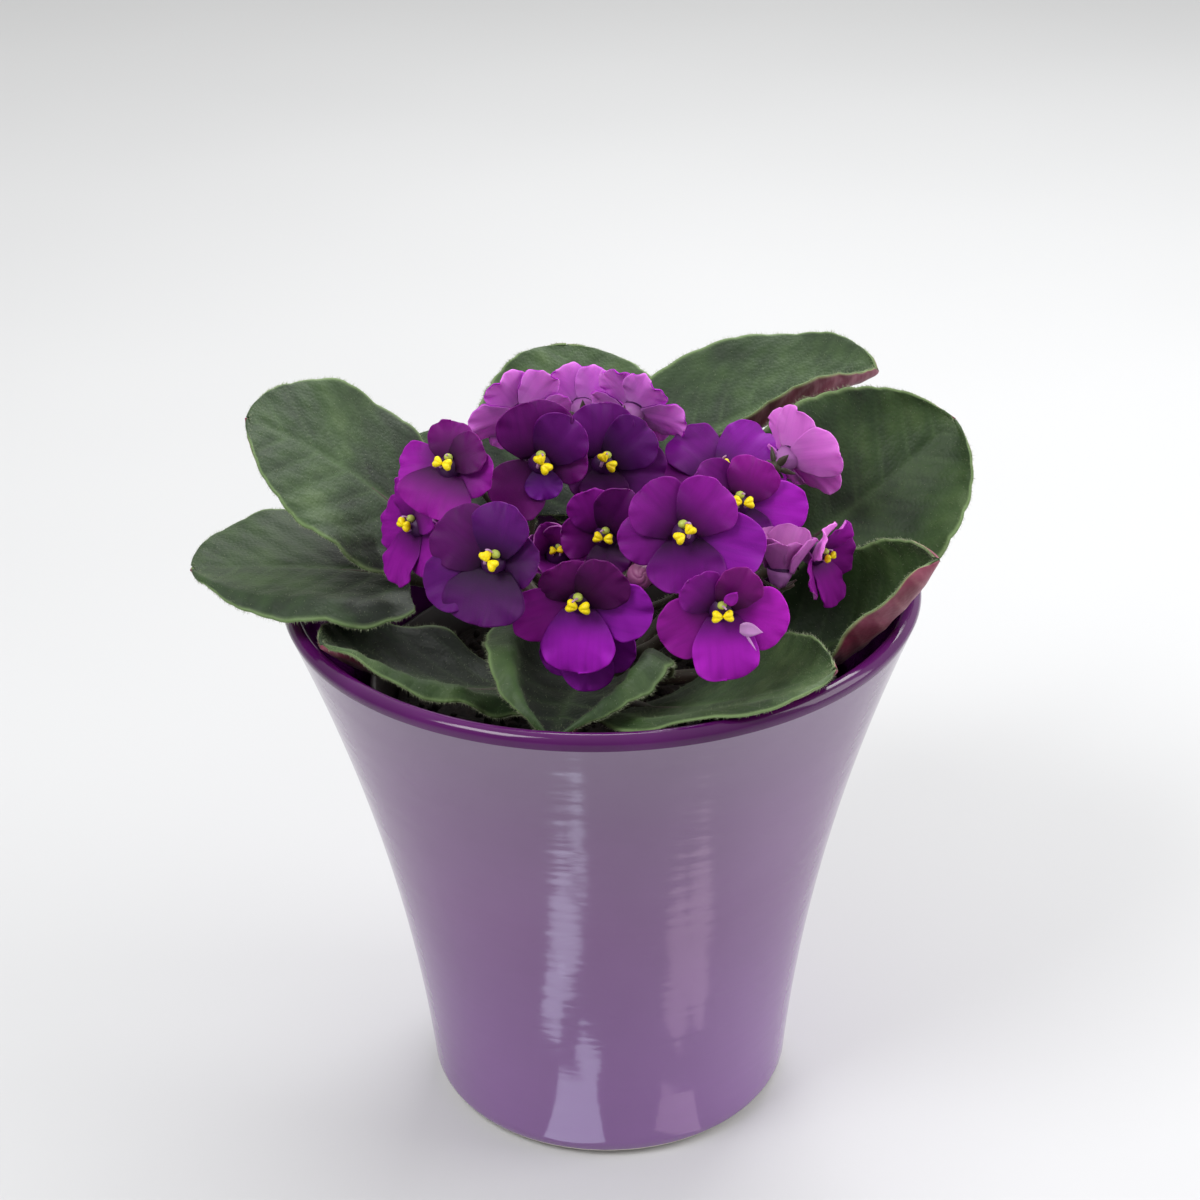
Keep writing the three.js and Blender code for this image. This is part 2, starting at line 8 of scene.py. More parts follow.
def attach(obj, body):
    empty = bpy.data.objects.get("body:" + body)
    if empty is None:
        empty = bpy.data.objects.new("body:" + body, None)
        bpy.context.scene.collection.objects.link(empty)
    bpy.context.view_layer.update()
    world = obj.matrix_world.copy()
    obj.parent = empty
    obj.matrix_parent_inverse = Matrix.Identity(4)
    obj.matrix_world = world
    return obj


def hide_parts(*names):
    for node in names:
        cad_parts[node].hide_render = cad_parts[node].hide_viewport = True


# A potted African violet in a glazed cover pot. Lengths are in millimetres until a mesh is made.
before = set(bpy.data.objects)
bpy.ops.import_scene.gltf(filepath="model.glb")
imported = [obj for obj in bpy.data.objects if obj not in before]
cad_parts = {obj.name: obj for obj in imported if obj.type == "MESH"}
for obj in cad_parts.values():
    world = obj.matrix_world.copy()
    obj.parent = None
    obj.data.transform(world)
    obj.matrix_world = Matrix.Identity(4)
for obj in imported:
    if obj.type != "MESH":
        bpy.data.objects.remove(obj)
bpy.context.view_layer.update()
mm = 0.001
dice = np.random.default_rng(11)


# Colours are written as sRGB hex values and turned to linear here.
def linearColour(code):
    shares = [int(code[i:i + 2], 16) / 255 for i in (0, 2, 4)]
    linear = [c / 12.92 if c <= 0.04045 else ((c + 0.055) / 1.055) ** 2.4 for c in shares]
    return (*linear, 1.0)


# Adds a node. A setting's name is a socket's name or number, or else a property of the node.
# stops are the places and colours of a colour ramp.
def addNode(tree, kind, settings=None, links=None):
    node = tree.nodes.new(kind)
    settings = dict(settings or {})
    stops = settings.pop("stops", [])
    for number, (place, code) in enumerate(stops):
        element = node.color_ramp.elements[number] if number < 2 else node.color_ramp.elements.new(place)
        element.position = place
        element.color = linearColour(code)
    properties = [name for name in settings if isinstance(name, str) and hasattr(node, name)]
    for name in properties:
        setattr(node, name, settings[name])
    for name, value in settings.items():
        if name not in properties:
            node.inputs[name].default_value = value
    for name, source in (links or {}).items():
        tree.links.new(source, node.inputs[name])
    return node


def newMaterial(name):
    material = bpy.data.materials.new(name)
    material.use_nodes = True
    material.node_tree.nodes.clear()
    return material, material.node_tree


def finishMaterial(tree, shader):
    addNode(tree, "ShaderNodeOutputMaterial", links={"Surface": shader.outputs[0]})


# Cover pot outside: stoneware, dipped in a glossy lilac glaze that runs a little and shows the
# wheel's ridges, so that reflections have ragged edges.
def makeLilacGlaze():
    material, tree = newMaterial("lilacGlazedStoneware")
    place = addNode(tree, "ShaderNodeTexCoord").outputs["Object"]
    height = addNode(tree, "ShaderNodeSeparateXYZ", links={0: place}).outputs["Z"]
    # the colour is painted greyer and paler towards the rim, a painted reflection of the pale room, and
    # lighter near the foot, painted light bounced up from the floor
    share = addNode(tree, "ShaderNodeMapRange", {1: 0.0, 2: 0.142}, {0: height}).outputs[0]
    stops = [(0.0, "87609a"), (0.3, "825e92"), (0.55, "7f5d8b"), (0.8, "80648a"), (1.0, "84708c")]
    tone = addNode(tree, "ShaderNodeValToRGB", {"stops": stops}, {0: share})
    cloud = addNode(tree, "ShaderNodeTexNoise", {"Scale": 1 / 0.045, "Detail": 3.0}, {"Vector": place})
    uneven = addNode(tree, "ShaderNodeMapRange", {1: 0.3, 2: 0.7, 3: 0.95, 4: 1.05}, {0: cloud.outputs[0]})
    mixed = addNode(tree, "ShaderNodeMix", {"data_type": "RGBA", "blend_type": "MULTIPLY", 0: 1.0},
                    {6: tone.outputs[0], 7: uneven.outputs[0]})
    # throwing ridges lie level, 3 mm apart, and are broken round the pot
    level = addNode(tree, "ShaderNodeMapping", {"Scale": (0.22, 0.22, 1.0)}, {"Vector": place})
    ridges = addNode(tree, "ShaderNodeTexNoise", {"Scale": 1 / 0.0045, "Detail": 1.5, "Roughness": 0.6},
                     {"Vector": level.outputs[0]})
    ripple = addNode(tree, "ShaderNodeBump", {"Strength": 1.0, "Distance": 0.00016},
                     {"Height": ridges.outputs[0]})
    shader = addNode(tree, "ShaderNodeBsdfPrincipled", {"Roughness": 0.13, "IOR": 1.52},
                     {"Base Color": mixed.outputs[2], "Normal": ripple.outputs[0]})
    finishMaterial(tree, shader)
    return material


# A material with patches of colour and a grained surface. Its two noises, clouds for the colour and
# grains for the surface, are each given by their width in metres, detail and roughness, the bump by its
# strength and its height in metres.
def makeGrained(name, clouds, stops, grains, bump, surface):
    material, tree = newMaterial(name)
    place = addNode(tree, "ShaderNodeTexCoord").outputs["Object"]
    noises = [addNode(tree, "ShaderNodeTexNoise", {"Scale": 1 / wide, "Detail": detail, "Roughness": rough},
                      {"Vector": place}).outputs[0] for wide, detail, rough in (clouds, grains)]
    tone = addNode(tree, "ShaderNodeValToRGB", {"stops": stops}, {0: noises[0]})
    grain = addNode(tree, "ShaderNodeBump", {"Strength": bump[0], "Distance": bump[1]}, {"Height": noises[1]})
    shader = addNode(tree, "ShaderNodeBsdfPrincipled", surface,
                     {"Base Color": tone.outputs[0], "Normal": grain.outputs[0]})
    finishMaterial(tree, shader)
    return material


# One skin of a leaf. marks gives vein, rim and tone, lie the place on the blade; the tone carries painted
# shade and a painted sheen on the swellings. A hair stands on each cell, which makes the skin velvety.
# reach, where it is given, turns the distance along the blade into the tone instead: painted shade near
# the stalk and painted light towards the tip.
def makeLeafFace(name, cloud, stops, vein, veinShare, rim, cell, nap, surface, reach=None):
    material, tree = newMaterial(name)
    marks = addNode(tree, "ShaderNodeAttribute", {"attribute_name": "marks"}).outputs["Vector"]
    lie = addNode(tree, "ShaderNodeAttribute", {"attribute_name": "lie"}).outputs["Vector"]
    parts = addNode(tree, "ShaderNodeSeparateXYZ", links={0: marks})
    wide, rough = cloud
    clouds = addNode(tree, "ShaderNodeTexNoise", {"Scale": 1 / wide, "Detail": 3.0, "Roughness": rough},
                     {"Vector": lie})
    shift = parts.outputs["Z"]
    if reach is not None:
        onward = addNode(tree, "ShaderNodeSeparateXYZ", links={0: lie}).outputs["Y"]
        shift = addNode(tree, "ShaderNodeMapRange", reach, {0: onward}).outputs[0]
    shade = addNode(tree, "ShaderNodeMath", {"operation": "ADD"}, {0: clouds.outputs[0], 1: shift})
    tone = addNode(tree, "ShaderNodeValToRGB", {"stops": stops}, {0: shade.outputs[0]})
    share = addNode(tree, "ShaderNodeMath", {"operation": "MULTIPLY", 1: veinShare}, {0: parts.outputs["X"]})
    veined = addNode(tree, "ShaderNodeMix", {"data_type": "RGBA", 7: linearColour(vein)},
                     {0: share.outputs[0], 6: tone.outputs[0]})
    rimmed = addNode(tree, "ShaderNodeMix", {"data_type": "RGBA", 7: linearColour(rim)},
                     {0: parts.outputs["Y"], 6: veined.outputs[2]})
    cells = addNode(tree, "ShaderNodeTexVoronoi", {"Scale": 1 / cell}, {"Vector": lie})
    velvet = addNode(tree, "ShaderNodeBump", nap, {"Height": cells.outputs["Distance"]})
    shader = addNode(tree, "ShaderNodeBsdfPrincipled", surface,
                     {"Base Color": rimmed.outputs[2], "Normal": velvet.outputs[0]})
    finishMaterial(tree, shader)
    return material


# Hairs are clear and a little glossy, and look pale green against the leaf.
def makePlantHair():
    material, tree = newMaterial("clearPlantHair")
    shader = addNode(tree, "ShaderNodeBsdfPrincipled",
                     {"Base Color": linearColour("adb994"), "Roughness": 0.4, "IOR": 1.45, "Alpha": 0.7})
    finishMaterial(tree, shader)
    return material


# Petals: satin. The colour darkens towards the throat, and fine veins run from it to the edge.
# marks holds the depth in the throat, a petal's own hue and its tone, which is painted light and shade,
# lie its place across and along.
def makePetal(name, stops, streak, sheen):
    material, tree = newMaterial(name)
    marks = addNode(tree, "ShaderNodeAttribute", {"attribute_name": "marks"}).outputs["Vector"]
    lie = addNode(tree, "ShaderNodeAttribute", {"attribute_name": "lie"}).outputs["Vector"]
    parts = addNode(tree, "ShaderNodeSeparateXYZ", links={0: marks})
    tone = addNode(tree, "ShaderNodeValToRGB", {"stops": stops}, {0: parts.outputs["X"]})
    # veins 0.6 mm apart, drawn long by squeezing the texture along the petal
    drawn = addNode(tree, "ShaderNodeMapping", {"Scale": (1.0, 0.09, 1.0)}, {"Vector": lie})
    veins = addNode(tree, "ShaderNodeTexNoise", {"Scale": 1 / 0.0011, "Detail": 3.0},
                    {"Vector": drawn.outputs[0]})
    veinShare = addNode(tree, "ShaderNodeMapRange", {1: 0.45, 2: 0.75, 3: 0.0, 4: 0.3},
                        {0: veins.outputs[0]})
    veined = addNode(tree, "ShaderNodeMix", {"data_type": "RGBA", 7: linearColour(streak)},
                     {0: veinShare.outputs[0], 6: tone.outputs[0]})
    # the tone, given here as the value, is painted light and shade on each petal
    own = addNode(tree, "ShaderNodeHueSaturation",
                  links={"Hue": parts.outputs["Y"], "Value": parts.outputs["Z"], "Color": veined.outputs[2]})
    # sparkling cells, 0.3 mm across
    cells = addNode(tree, "ShaderNodeTexVoronoi", {"Scale": 1 / 0.0003}, {"Vector": lie})
    fine = addNode(tree, "ShaderNodeBump", {"Strength": 0.25, "Distance": 0.00006},
                   {"Height": cells.outputs["Distance"]})
    folds = addNode(tree, "ShaderNodeBump", {"Strength": 0.22, "Distance": 0.0002},
                    {"Height": veins.outputs[0], "Normal": fine.outputs[0]})
    shader = addNode(tree, "ShaderNodeBsdfPrincipled",
                     {"Roughness": 0.55, "IOR": 1.4, "Specular IOR Level": 0.2, "Subsurface Weight": 0.25,
                      "Subsurface Scale": 0.0015, "Subsurface Radius": (1.0, 0.35, 0.9),
                      "Sheen Weight": 0.03, "Sheen Roughness": 0.4, "Sheen Tint": linearColour(sheen)},
                     {"Base Color": own.outputs[0], "Normal": folds.outputs[0]})
    finishMaterial(tree, shader)
    return material


# Small waxy plant parts: one colour, a little uneven every 3 mm, with a soft shine on a smooth skin.
def makeWaxy(name, code, roughness):
    material, tree = newMaterial(name)
    place = addNode(tree, "ShaderNodeTexCoord").outputs["Object"]
    cloud = addNode(tree, "ShaderNodeTexNoise", {"Scale": 1 / 0.003, "Detail": 3.0}, {"Vector": place})
    uneven = addNode(tree, "ShaderNodeMapRange", {1: 0.3, 2: 0.7, 3: 0.85, 4: 1.1}, {0: cloud.outputs[0]})
    mixed = addNode(tree, "ShaderNodeMix",
                    {"data_type": "RGBA", "blend_type": "MULTIPLY", 0: 1.0, 6: linearColour(code)},
                    {7: uneven.outputs[0]})
    shader = addNode(tree, "ShaderNodeBsdfPrincipled", {"Roughness": roughness, "IOR": 1.42},
                     {"Base Color": mixed.outputs[2]})
    finishMaterial(tree, shader)
    return material


# Studio floor: a board rolled with matt white paint, very slightly cloudy, so it takes soft shadows.
def makeMattPaint():
    material, tree = newMaterial("mattPaintedBoard")
    place = addNode(tree, "ShaderNodeTexCoord").outputs["Object"]
    cloud = addNode(tree, "ShaderNodeTexNoise", {"Scale": 1 / 0.4, "Detail": 2.0}, {"Vector": place})
    tone = addNode(tree, "ShaderNodeValToRGB", {"stops": [(0.3, "c6c7c9"), (0.7, "cacbcd")]},
                   {0: cloud.outputs[0]})
    shader = addNode(tree, "ShaderNodeBsdfPrincipled", {"Roughness": 0.6, "IOR": 1.45},
                     {"Base Color": tone.outputs[0]})
    finishMaterial(tree, shader)
    return material


print("materials")
lilacGlaze = makeLilacGlaze()
# the lip and the inside carry a second, deep violet glaze, thicker and smoother than the lilac one
violetGlaze = makeGrained("violetGlazedStoneware", (0.03, 3.0, 0.5), [(0.3, "44094a"), (0.7, "5a1462")],
                          (0.03, 3.0, 0.5), (0.3, 0.0001),
                          {"Roughness": 0.12, "IOR": 1.52, "Specular IOR Level": 0.35})
# the foot ring is wiped clean of glaze before firing: bare, buff and dull
bareStoneware = makeGrained("bareStoneware", (0.0012, 4.0, 0.5), [(0.3, "d9cfc6"), (0.7, "efe8e2")],
                            (0.0012, 4.0, 0.5), (0.5, 0.0003), {"Roughness": 0.8, "IOR": 1.5})
# nursery pot: thin moulded polypropylene, finely spark-textured, so it looks matt, with a little dust
polypropylene = makeGrained("mouldedPolypropylene", (0.02, 4.0, 0.5), [(0.35, "1f1a1a"), (0.75, "342b27")],
                            (0.0008, 2.0, 0.5), (0.3, 0.0001), {"Roughness": 0.48, "IOR": 1.49})
# damp peat with lighter fibres and a few pale specks of perlite dust, painted darker still for the shade that
# the leaves cast on it
peat = makeGrained("dampPeatPaintedShade", (0.002, 6.0, 0.7),
                   [(0.25, "0c0806"), (0.5, "1a120d"), (0.68, "2b1e14"), (0.8, "413022")],
                   (0.002, 6.0, 0.7), (0.9, 0.0012), {"Roughness": 0.9, "IOR": 1.45})
# upper leaf skin: dark green, with paler veins and rim and a pale bloom of hairs
leafSkin = makeLeafFace("velvetLeafSkin", (0.013, 0.55),
                        [(0.15, "101d10"), (0.42, "243a1b"), (0.6, "324a23"), (0.85, "4a6136")],
                        "6f8f58", 0.3, "7f9a62", 0.0009,
                        {"Strength": 0.45, "Distance": 0.00022, "invert": True},
                        {"Roughness": 0.58, "IOR": 1.42, "Sheen Weight": 0.12, "Sheen Roughness": 0.45,
                         "Sheen Tint": linearColour("d8e4c4")})
# leaf underside: wine red, with painted shade near the stalk and painted light, paler, towards the tip,
# where the light comes through
leafUnderside = makeLeafFace("wineRedLeafUnderside", (0.01, 0.5),
                             [(0.05, "370719"), (0.3, "5a0f28"), (0.5, "722340"), (0.75, "985266")],
                             "98696c", 1.0, "8a9a66", 0.0011, {"Strength": 0.35, "Distance": 0.0002},
                             {"Roughness": 0.5, "IOR": 1.42, "Sheen Weight": 0.1, "Sheen Roughness": 0.5,
                              "Sheen Tint": linearColour("f0d8dc")},
                             {1: 0.022, 2: 0.058, 3: -0.4, 4: 0.08})
# stalks: green, flushed red-brown, juicy under a fine fur, and painted darker still for the shade deep among
# the leaves and flowers
stalkSkin = makeGrained("furredStalkPaintedShade", (0.012, 3.0, 0.5),
                        [(0.3, "2e3420"), (0.52, "3c3328"), (0.75, "4c3130")],
                        (0.0007, 2.0, 0.5), (0.4, 0.00015),
                        {"Roughness": 0.5, "IOR": 1.42, "Sheen Weight": 0.35, "Sheen Roughness": 0.4,
                         "Sheen Tint": linearColour("e8e2d8")})
hairMaterial = makePlantHair()
petalFace = makePetal("satinPetalFace", [(0.0, "330739"), (0.3, "660f72"), (0.65, "8c1698"), (1.0, "9418a0")],
                      "660f74", "d9a6ea")
# petal backs: a paler orchid, painted lighter still for the light that comes through the petals
petalBack = makePetal("paleOrchidPetalBackPaintedLight", [(0.0, "a968ae"), (0.4, "b965bd"), (1.0, "c872cb")],
                      "8f459b", "f0d4f4")
throatMaterial = makeWaxy("darkVioletThroat", "3c0a48", 0.5)
tubeMaterial = makeWaxy("paleLilacTube", "a564aa", 0.5)
# anther sacs: waxy yellow skin dusted with pollen, which looks powdery
pollen = makeGrained("pollenYellow", (0.0004, 2.0, 0.5), [(0.3, "f7cf00"), (0.6, "ffec00")],
                     (0.0004, 2.0, 0.5), (0.3, 0.00008), {"Roughness": 0.45, "IOR": 1.45})
ovaryMaterial = makeWaxy("waxyGreenOvary", "b4c258", 0.4)
styleMaterial = makeWaxy("pinkStyle", "c99ac4", 0.4)
budMaterial = makeWaxy("mauveBudSkin", "8d4d78", 0.5)
curlMaterial = makeWaxy("paleLilacCurl", "c98fce", 0.45)


# A skin gathers closed shells, which then become one mesh. marks and lies are carried to the mesh.
class Skin:
    def __init__(self):
        self.points, self.faces, self.looks, self.marks, self.lies = [], [], [], [], []
        self.count = 0

    def add(self, points, faceSets, look, marks=(0, 0, 0), lies=(0, 0, 0)):
        points = np.asarray(points, float).reshape(-1, 3)
        for number, faces in enumerate(faceSets):
            self.faces.extend((np.asarray(faces) + self.count).tolist())
            self.looks.extend([look[number] if isinstance(look, (list, tuple)) else look] * len(faces))
        self.points.append(points)
        self.marks.append(np.broadcast_to(np.asarray(marks, float), points.shape))
        self.lies.append(np.broadcast_to(np.asarray(lies, float), points.shape))
        self.count += len(points)


def meshObject(name, skin, materials):
    mesh = bpy.data.meshes.new(name)
    mesh.from_pydata((np.concatenate(skin.points) * mm).tolist(), [], skin.faces)
    for material in materials:
        mesh.materials.append(material)
    mesh.polygons.foreach_set("material_index", skin.looks)
    for title, rows, scale in (("marks", skin.marks, 1), ("lie", skin.lies, mm)):
        layer = mesh.attributes.new(title, "FLOAT_VECTOR", "POINT")
        layer.data.foreach_set("vector", (np.concatenate(rows) * scale).astype(np.float32).ravel())
    mesh.shade_smooth()
    mesh.update()
    piece = bpy.data.objects.new(name, mesh)
    bpy.context.scene.collection.objects.link(piece)
    return piece


# Makes a piece of the object, which stands for CAD nodes.
def makePiece(name, skin, materials, slot, *nodes):
    piece = meshObject(name, skin, materials)
    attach(piece, "root")
    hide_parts(*nodes)
    return piece


def gridQuads(a, b, c, d):
    return np.stack([a, b, c, d], -1).reshape(-1, 4)


# A closed sheet between two grids of points, rows running along it and columns across.
# looks are those of its upper face, its lower face and its edge.
def addSheet(skin, upper, lower, looks, marks, lies):
    rows, columns = upper.shape[:2]
    top = np.arange(rows * columns).reshape(rows, columns)
    low = top + rows * columns
    faceSets = [
        gridQuads(top[:-1, :-1], top[1:, :-1], top[1:, 1:], top[:-1, 1:]),
        gridQuads(low[:-1, 1:], low[1:, 1:], low[1:, :-1], low[:-1, :-1]),
        gridQuads(top[:-1, 0], low[:-1, 0], low[1:, 0], top[1:, 0]),
        gridQuads(top[1:, -1], low[1:, -1], low[:-1, -1], top[:-1, -1]),
        gridQuads(top[0, 1:], low[0, 1:], low[0, :-1], top[0, :-1]),
        gridQuads(top[-1, :-1], low[-1, :-1], low[-1, 1:], top[-1, 1:]),
    ]
    twice = [np.concatenate([values.reshape(-1, 3)] * 2) for values in (marks, lies)]
    points = np.concatenate([upper.reshape(-1, 3), lower.reshape(-1, 3)])
    skin.add(points, faceSets, [looks[0], looks[1]] + [looks[2]] * 4, *twice)


def unit(vectors):
    length = np.linalg.norm(vectors, axis=-1, keepdims=True)
    return vectors / np.maximum(length, 1e-9)


# The faces of a closed body of rings of points: the cap before its first ring, the bands between the
# rings and the cap behind the last. The middles of the caps are the two points that follow the rings.
def ringFaces(count, sides):
    index = np.arange(count * sides).reshape(count, sides)
    after = np.roll(index, -1, axis=1)
    startCap = np.stack([np.full(sides, index.size), after[0], index[0]], -1)
    endCap = np.stack([np.full(sides, index.size + 1), index[-1], after[-1]], -1)
    return startCap, gridQuads(index[:-1], after[:-1], after[1:], index[1:]), endCap


# A round stem along a row of points, closed at both ends, its side vector carried along without twist.
def addTube(skin, centres, radii, sides, look):
    centres = np.asarray(centres, float)
    radii = np.broadcast_to(radii, len(centres))
    tangents = unit(np.gradient(centres, axis=0))
    side = unit(np.cross(tangents[0], (0.31, 0.17, 0.93)))  # a direction that no stem starts in
    angles = np.arange(sides) * 2 * math.pi / sides
    rings = []
    for centre, tangent, radius in zip(centres, tangents, radii):
        side = unit(side - tangent * (side @ tangent))
        up = np.cross(tangent, side)
        ring = np.cos(angles)[:, None] * side + np.sin(angles)[:, None] * up
        rings.append(centre + radius * ring)
    startCap, body, endCap = ringFaces(len(centres), sides)
    skin.add(np.concatenate([*rings, centres[:1], centres[-1:]]), [body, startCap, endCap], look)
    return np.array(rings)


# Hairs: thin closed spikes of three sides.
def addHairs(skin, roots, directions, lengths, width, look):
    directions = unit(np.asarray(directions, float))
    steep = np.abs(directions[:, 2:]) > 0.9
    side = unit(np.cross(directions, np.where(steep, (1.0, 0, 0), (0, 0, 1.0))))
    up = np.cross(directions, side)
    corners = [roots + width * (math.cos(a) * side + math.sin(a) * up)
               for a in (0, 2 * math.pi / 3, 4 * math.pi / 3)]
    tips = roots + directions * np.asarray(lengths, float).reshape(-1, 1)
    base = np.arange(len(roots))[:, None] * 4
    faces = np.concatenate([base + corner for corner in ([0, 1, 3], [1, 2, 3], [2, 0, 3], [0, 2, 1])])
    skin.add(np.stack([*corners, tips], 1), [faces], look)


# A body turned round the upright axis from rows of radius and height that start and end on the axis.
def addTurned(skin, profile, sides, looks):
    profile = np.asarray(profile, float)
    angles = np.arange(sides) * 2 * math.pi / sides
    middle = profile[1:-1]
    rings = np.stack([middle[:, :1] * np.cos(angles), middle[:, :1] * np.sin(angles),
                      np.repeat(middle[:, 1:], sides, axis=1)], -1)
    startCap, body, endCap = ringFaces(len(middle), sides)
    points = np.concatenate([rings.reshape(-1, 3), [[0, 0, profile[0, 1]], [0, 0, profile[-1, 1]]]])
    skin.add(points, [startCap, *body.reshape(-1, sides, 4), endCap], looks)


def smoothStep(x, low, high):
    share = np.clip((x - low) / (high - low), 0, 1)
    return share * share * (3 - 2 * share)


def blend(a, b, share):
    return a + (b - a) * share


def ahead(heading):
    turn = np.radians(heading)
    return np.stack([np.sin(turn), -np.cos(turn), np.zeros_like(turn)], -1)


def aside(heading):
    turn = np.radians(heading)
    return np.stack([np.cos(turn), np.sin(turn), np.zeros_like(turn)], -1)


def bezier(corners, count):
    a, b, c, d = (np.asarray(corner, float) for corner in corners)
    t = np.linspace(0, 1, count)[:, None]
    return a * (1 - t) ** 3 + 3 * b * t * (1 - t) ** 2 + 3 * c * t ** 2 * (1 - t) + d * t ** 3


# A closed round body with a dent drawn along it. radii lie along the three rows of axes.
def addBlob(skin, middle, axes, radii, look, turns=12, rings=9, dent=None):
    angles = np.linspace(0, math.pi, rings + 2)[1:-1]
    around = np.arange(turns) * 2 * math.pi / turns
    body = np.stack([np.sin(angles)[:, None] * np.cos(around), np.sin(angles)[:, None] * np.sin(around),
                     np.cos(angles)[:, None] * np.ones(turns)], -1)
    body = np.concatenate([body.reshape(-1, 3), [[0, 0, 1.0], [0, 0, -1.0]]])
    if dent is not None:
        body = dent(body)
    points = np.asarray(middle, float) + (body * np.asarray(radii, float)) @ np.asarray(axes, float)
    # the rings come from above, so each face is turned over
    startCap, bands, endCap = (np.roll(faces[:, ::-1], 1, axis=1) for faces in ringFaces(rings, turns))
    skin.add(points, [bands, startCap, endCap], look)


# Cover pot.
print("cover pot")
coverPot = {
    "rimRadius": 80, "baseRadius": 47, "height": 145, "wall": 4.4, "floor": 6, "footRound": 5,
    # shares of the flare that grow with the height, its square and its fourth power
    "flare": (0.345, 0.63, 0.025),
    # the lilac glaze lies between these heights, with bare stoneware below and violet glaze above
    "lilacFrom": 2.5, "violetFrom": 141.2,
    "footRing": 4, "footRecess": 1.3, "sides": 192,
}


def flareRadius(z):
    u = np.asarray(z, float) / coverPot["height"]
    first, second, fourth = coverPot["flare"]
    share = first * u + second * u ** 2 + fourth * u ** 4
    return coverPot["baseRadius"] + (coverPot["rimRadius"] - coverPot["baseRadius"]) * share


def buildCoverPot():
    height, wall, floor = coverPot["height"], coverPot["wall"], coverPot["floor"]
    foot, recess, lip = coverPot["footRound"], coverPot["footRecess"], coverPot["wall"] / 2
    ring = flareRadius(0) - foot - coverPot["footRing"]
    # each row is radius, height and the look of the band that ends there: lilac 0, violet 1, bare 2
    rows = [(0, recess, 2), (ring - recess, recess, 2), (ring - 0.3, recess * 0.6, 2), (ring, 0, 2)]
    for turn in np.radians(np.linspace(0, 90, 9)):
        z = foot * (1 - math.cos(turn))
        rows.append((flareRadius(z) - foot * (1 - math.sin(turn)), z, 0 if z > coverPot["lilacFrom"] else 2))
    heights = np.concatenate([np.linspace(foot, coverPot["violetFrom"], 46)[1:], [height - lip]])
    rows += [(flareRadius(z), z, 0 if z <= coverPot["violetFrom"] else 1) for z in heights]
    middle = flareRadius(height - lip) - lip
    rows += [(middle + lip * math.cos(turn), height - lip + lip * math.sin(turn), 1)
             for turn in np.radians(np.linspace(0, 180, 15)[1:-1])]
    rows += [(flareRadius(z) - wall, z, 1) for z in np.linspace(height - lip, floor + foot, 40)]
    corner = flareRadius(floor + foot) - wall - foot
    rows += [(corner + foot * math.cos(turn), floor + foot * (1 - math.sin(turn)), 1)
             for turn in np.radians(np.linspace(0, 90, 8)[1:])]
    rows.append((0, floor, 1))
    skin = Skin()
    # the last band and the first one are caps; a cap takes the look of the row beside it
    looks = [2] + [int(row[2]) for row in rows[2:-1]] + [1]
    addTurned(skin, [row[:2] for row in rows], coverPot["sides"], looks)
    makePiece("coverPotGlazed", skin, [lilacGlaze, violetGlaze, bareStoneware], "pot_glaze", "cover_pot")


buildCoverPot()

# Nursery pot, which stands inside the cover pot on its floor, with five drain holes.
print("nursery pot")
nurseryPot = {
    "rimRadius": 59, "mouthRadius": 56, "baseRadius": 37.5, "height": 112, "wall": 1.6, "lip": 9,
    "drainRadius": 5, "drainRing": 24, "drains": 5, "drillReach": 4, "foot": 6.3, "sides": 120,
}


def buildNurseryPot():
    mouth, base, wall, foot = (nurseryPot[name] for name in ("mouthRadius", "baseRadius", "wall", "foot"))
    rim, top = nurseryPot["rimRadius"], nurseryPot["foot"] + nurseryPot["height"]
    lipFoot = top - nurseryPot["lip"]
    # every edge is eased by a third to half of a millimetre
    rows = [(0, foot), (base - 1, foot), (base - 0.3, foot + 0.3), (base, foot + 1)]
    rows += [(blend(base, mouth, share), blend(foot, lipFoot, share)) for share in np.linspace(0.02, 1, 24)]
    rows += [(rim - 0.5, lipFoot), (rim, lipFoot + 0.5), (rim, top - 0.5), (rim - 0.5, top)]
    rows += [(rim - wall + 0.4, top), (rim - wall, top - 0.4), (mouth - wall, lipFoot)]
    rows += [(blend(base, mouth, share) - wall, blend(foot + wall, lipFoot, share))
             for share in np.linspace(0.98, 0.02, 24)]
    rows += [(base - wall, foot + wall), (0, foot + wall)]
    skin = Skin()
    addTurned(skin, rows, nurseryPot["sides"], 0)
    pot = makePiece("nurseryPotMoulded", skin, [polypropylene], "nursery_plastic", "nursery_pot")
    drills = Skin()
    for number in range(nurseryPot["drains"]):
        turn = 2 * math.pi * number / nurseryPot["drains"]
        middle = np.array([math.cos(turn), math.sin(turn), 0]) * nurseryPot["drainRing"]
        ends = [middle + (0, 0, foot + z) for z in (-nurseryPot["drillReach"], nurseryPot["drillReach"])]
        addTube(drills, ends, nurseryPot["drainRadius"], 32, 0)
    cutter = meshObject("drainDrills", drills, [polypropylene])
    cut = pot.modifiers.new("drains", "BOOLEAN")
    cut.object = cutter
    cut.operation = "DIFFERENCE"
    cut.solver = "EXACT"
    bpy.context.view_layer.update()
    seen = pot.evaluated_get(bpy.context.evaluated_depsgraph_get())
    cutMesh = bpy.data.meshes.new_from_object(seen)
    pot.modifiers.clear()
    pot.data = cutMesh
    bpy.data.objects.remove(cutter)


buildNurseryPot()

# Soil: peat heaped a little round the crown, with crumbs lying on it.
print("soil")
soil = {"foot": 8.2, "top": 110, "mound": 3, "play": 0.9, "crumbs": 900, "crumbRadius": (0.5, 1.6),
        "sides": 120}


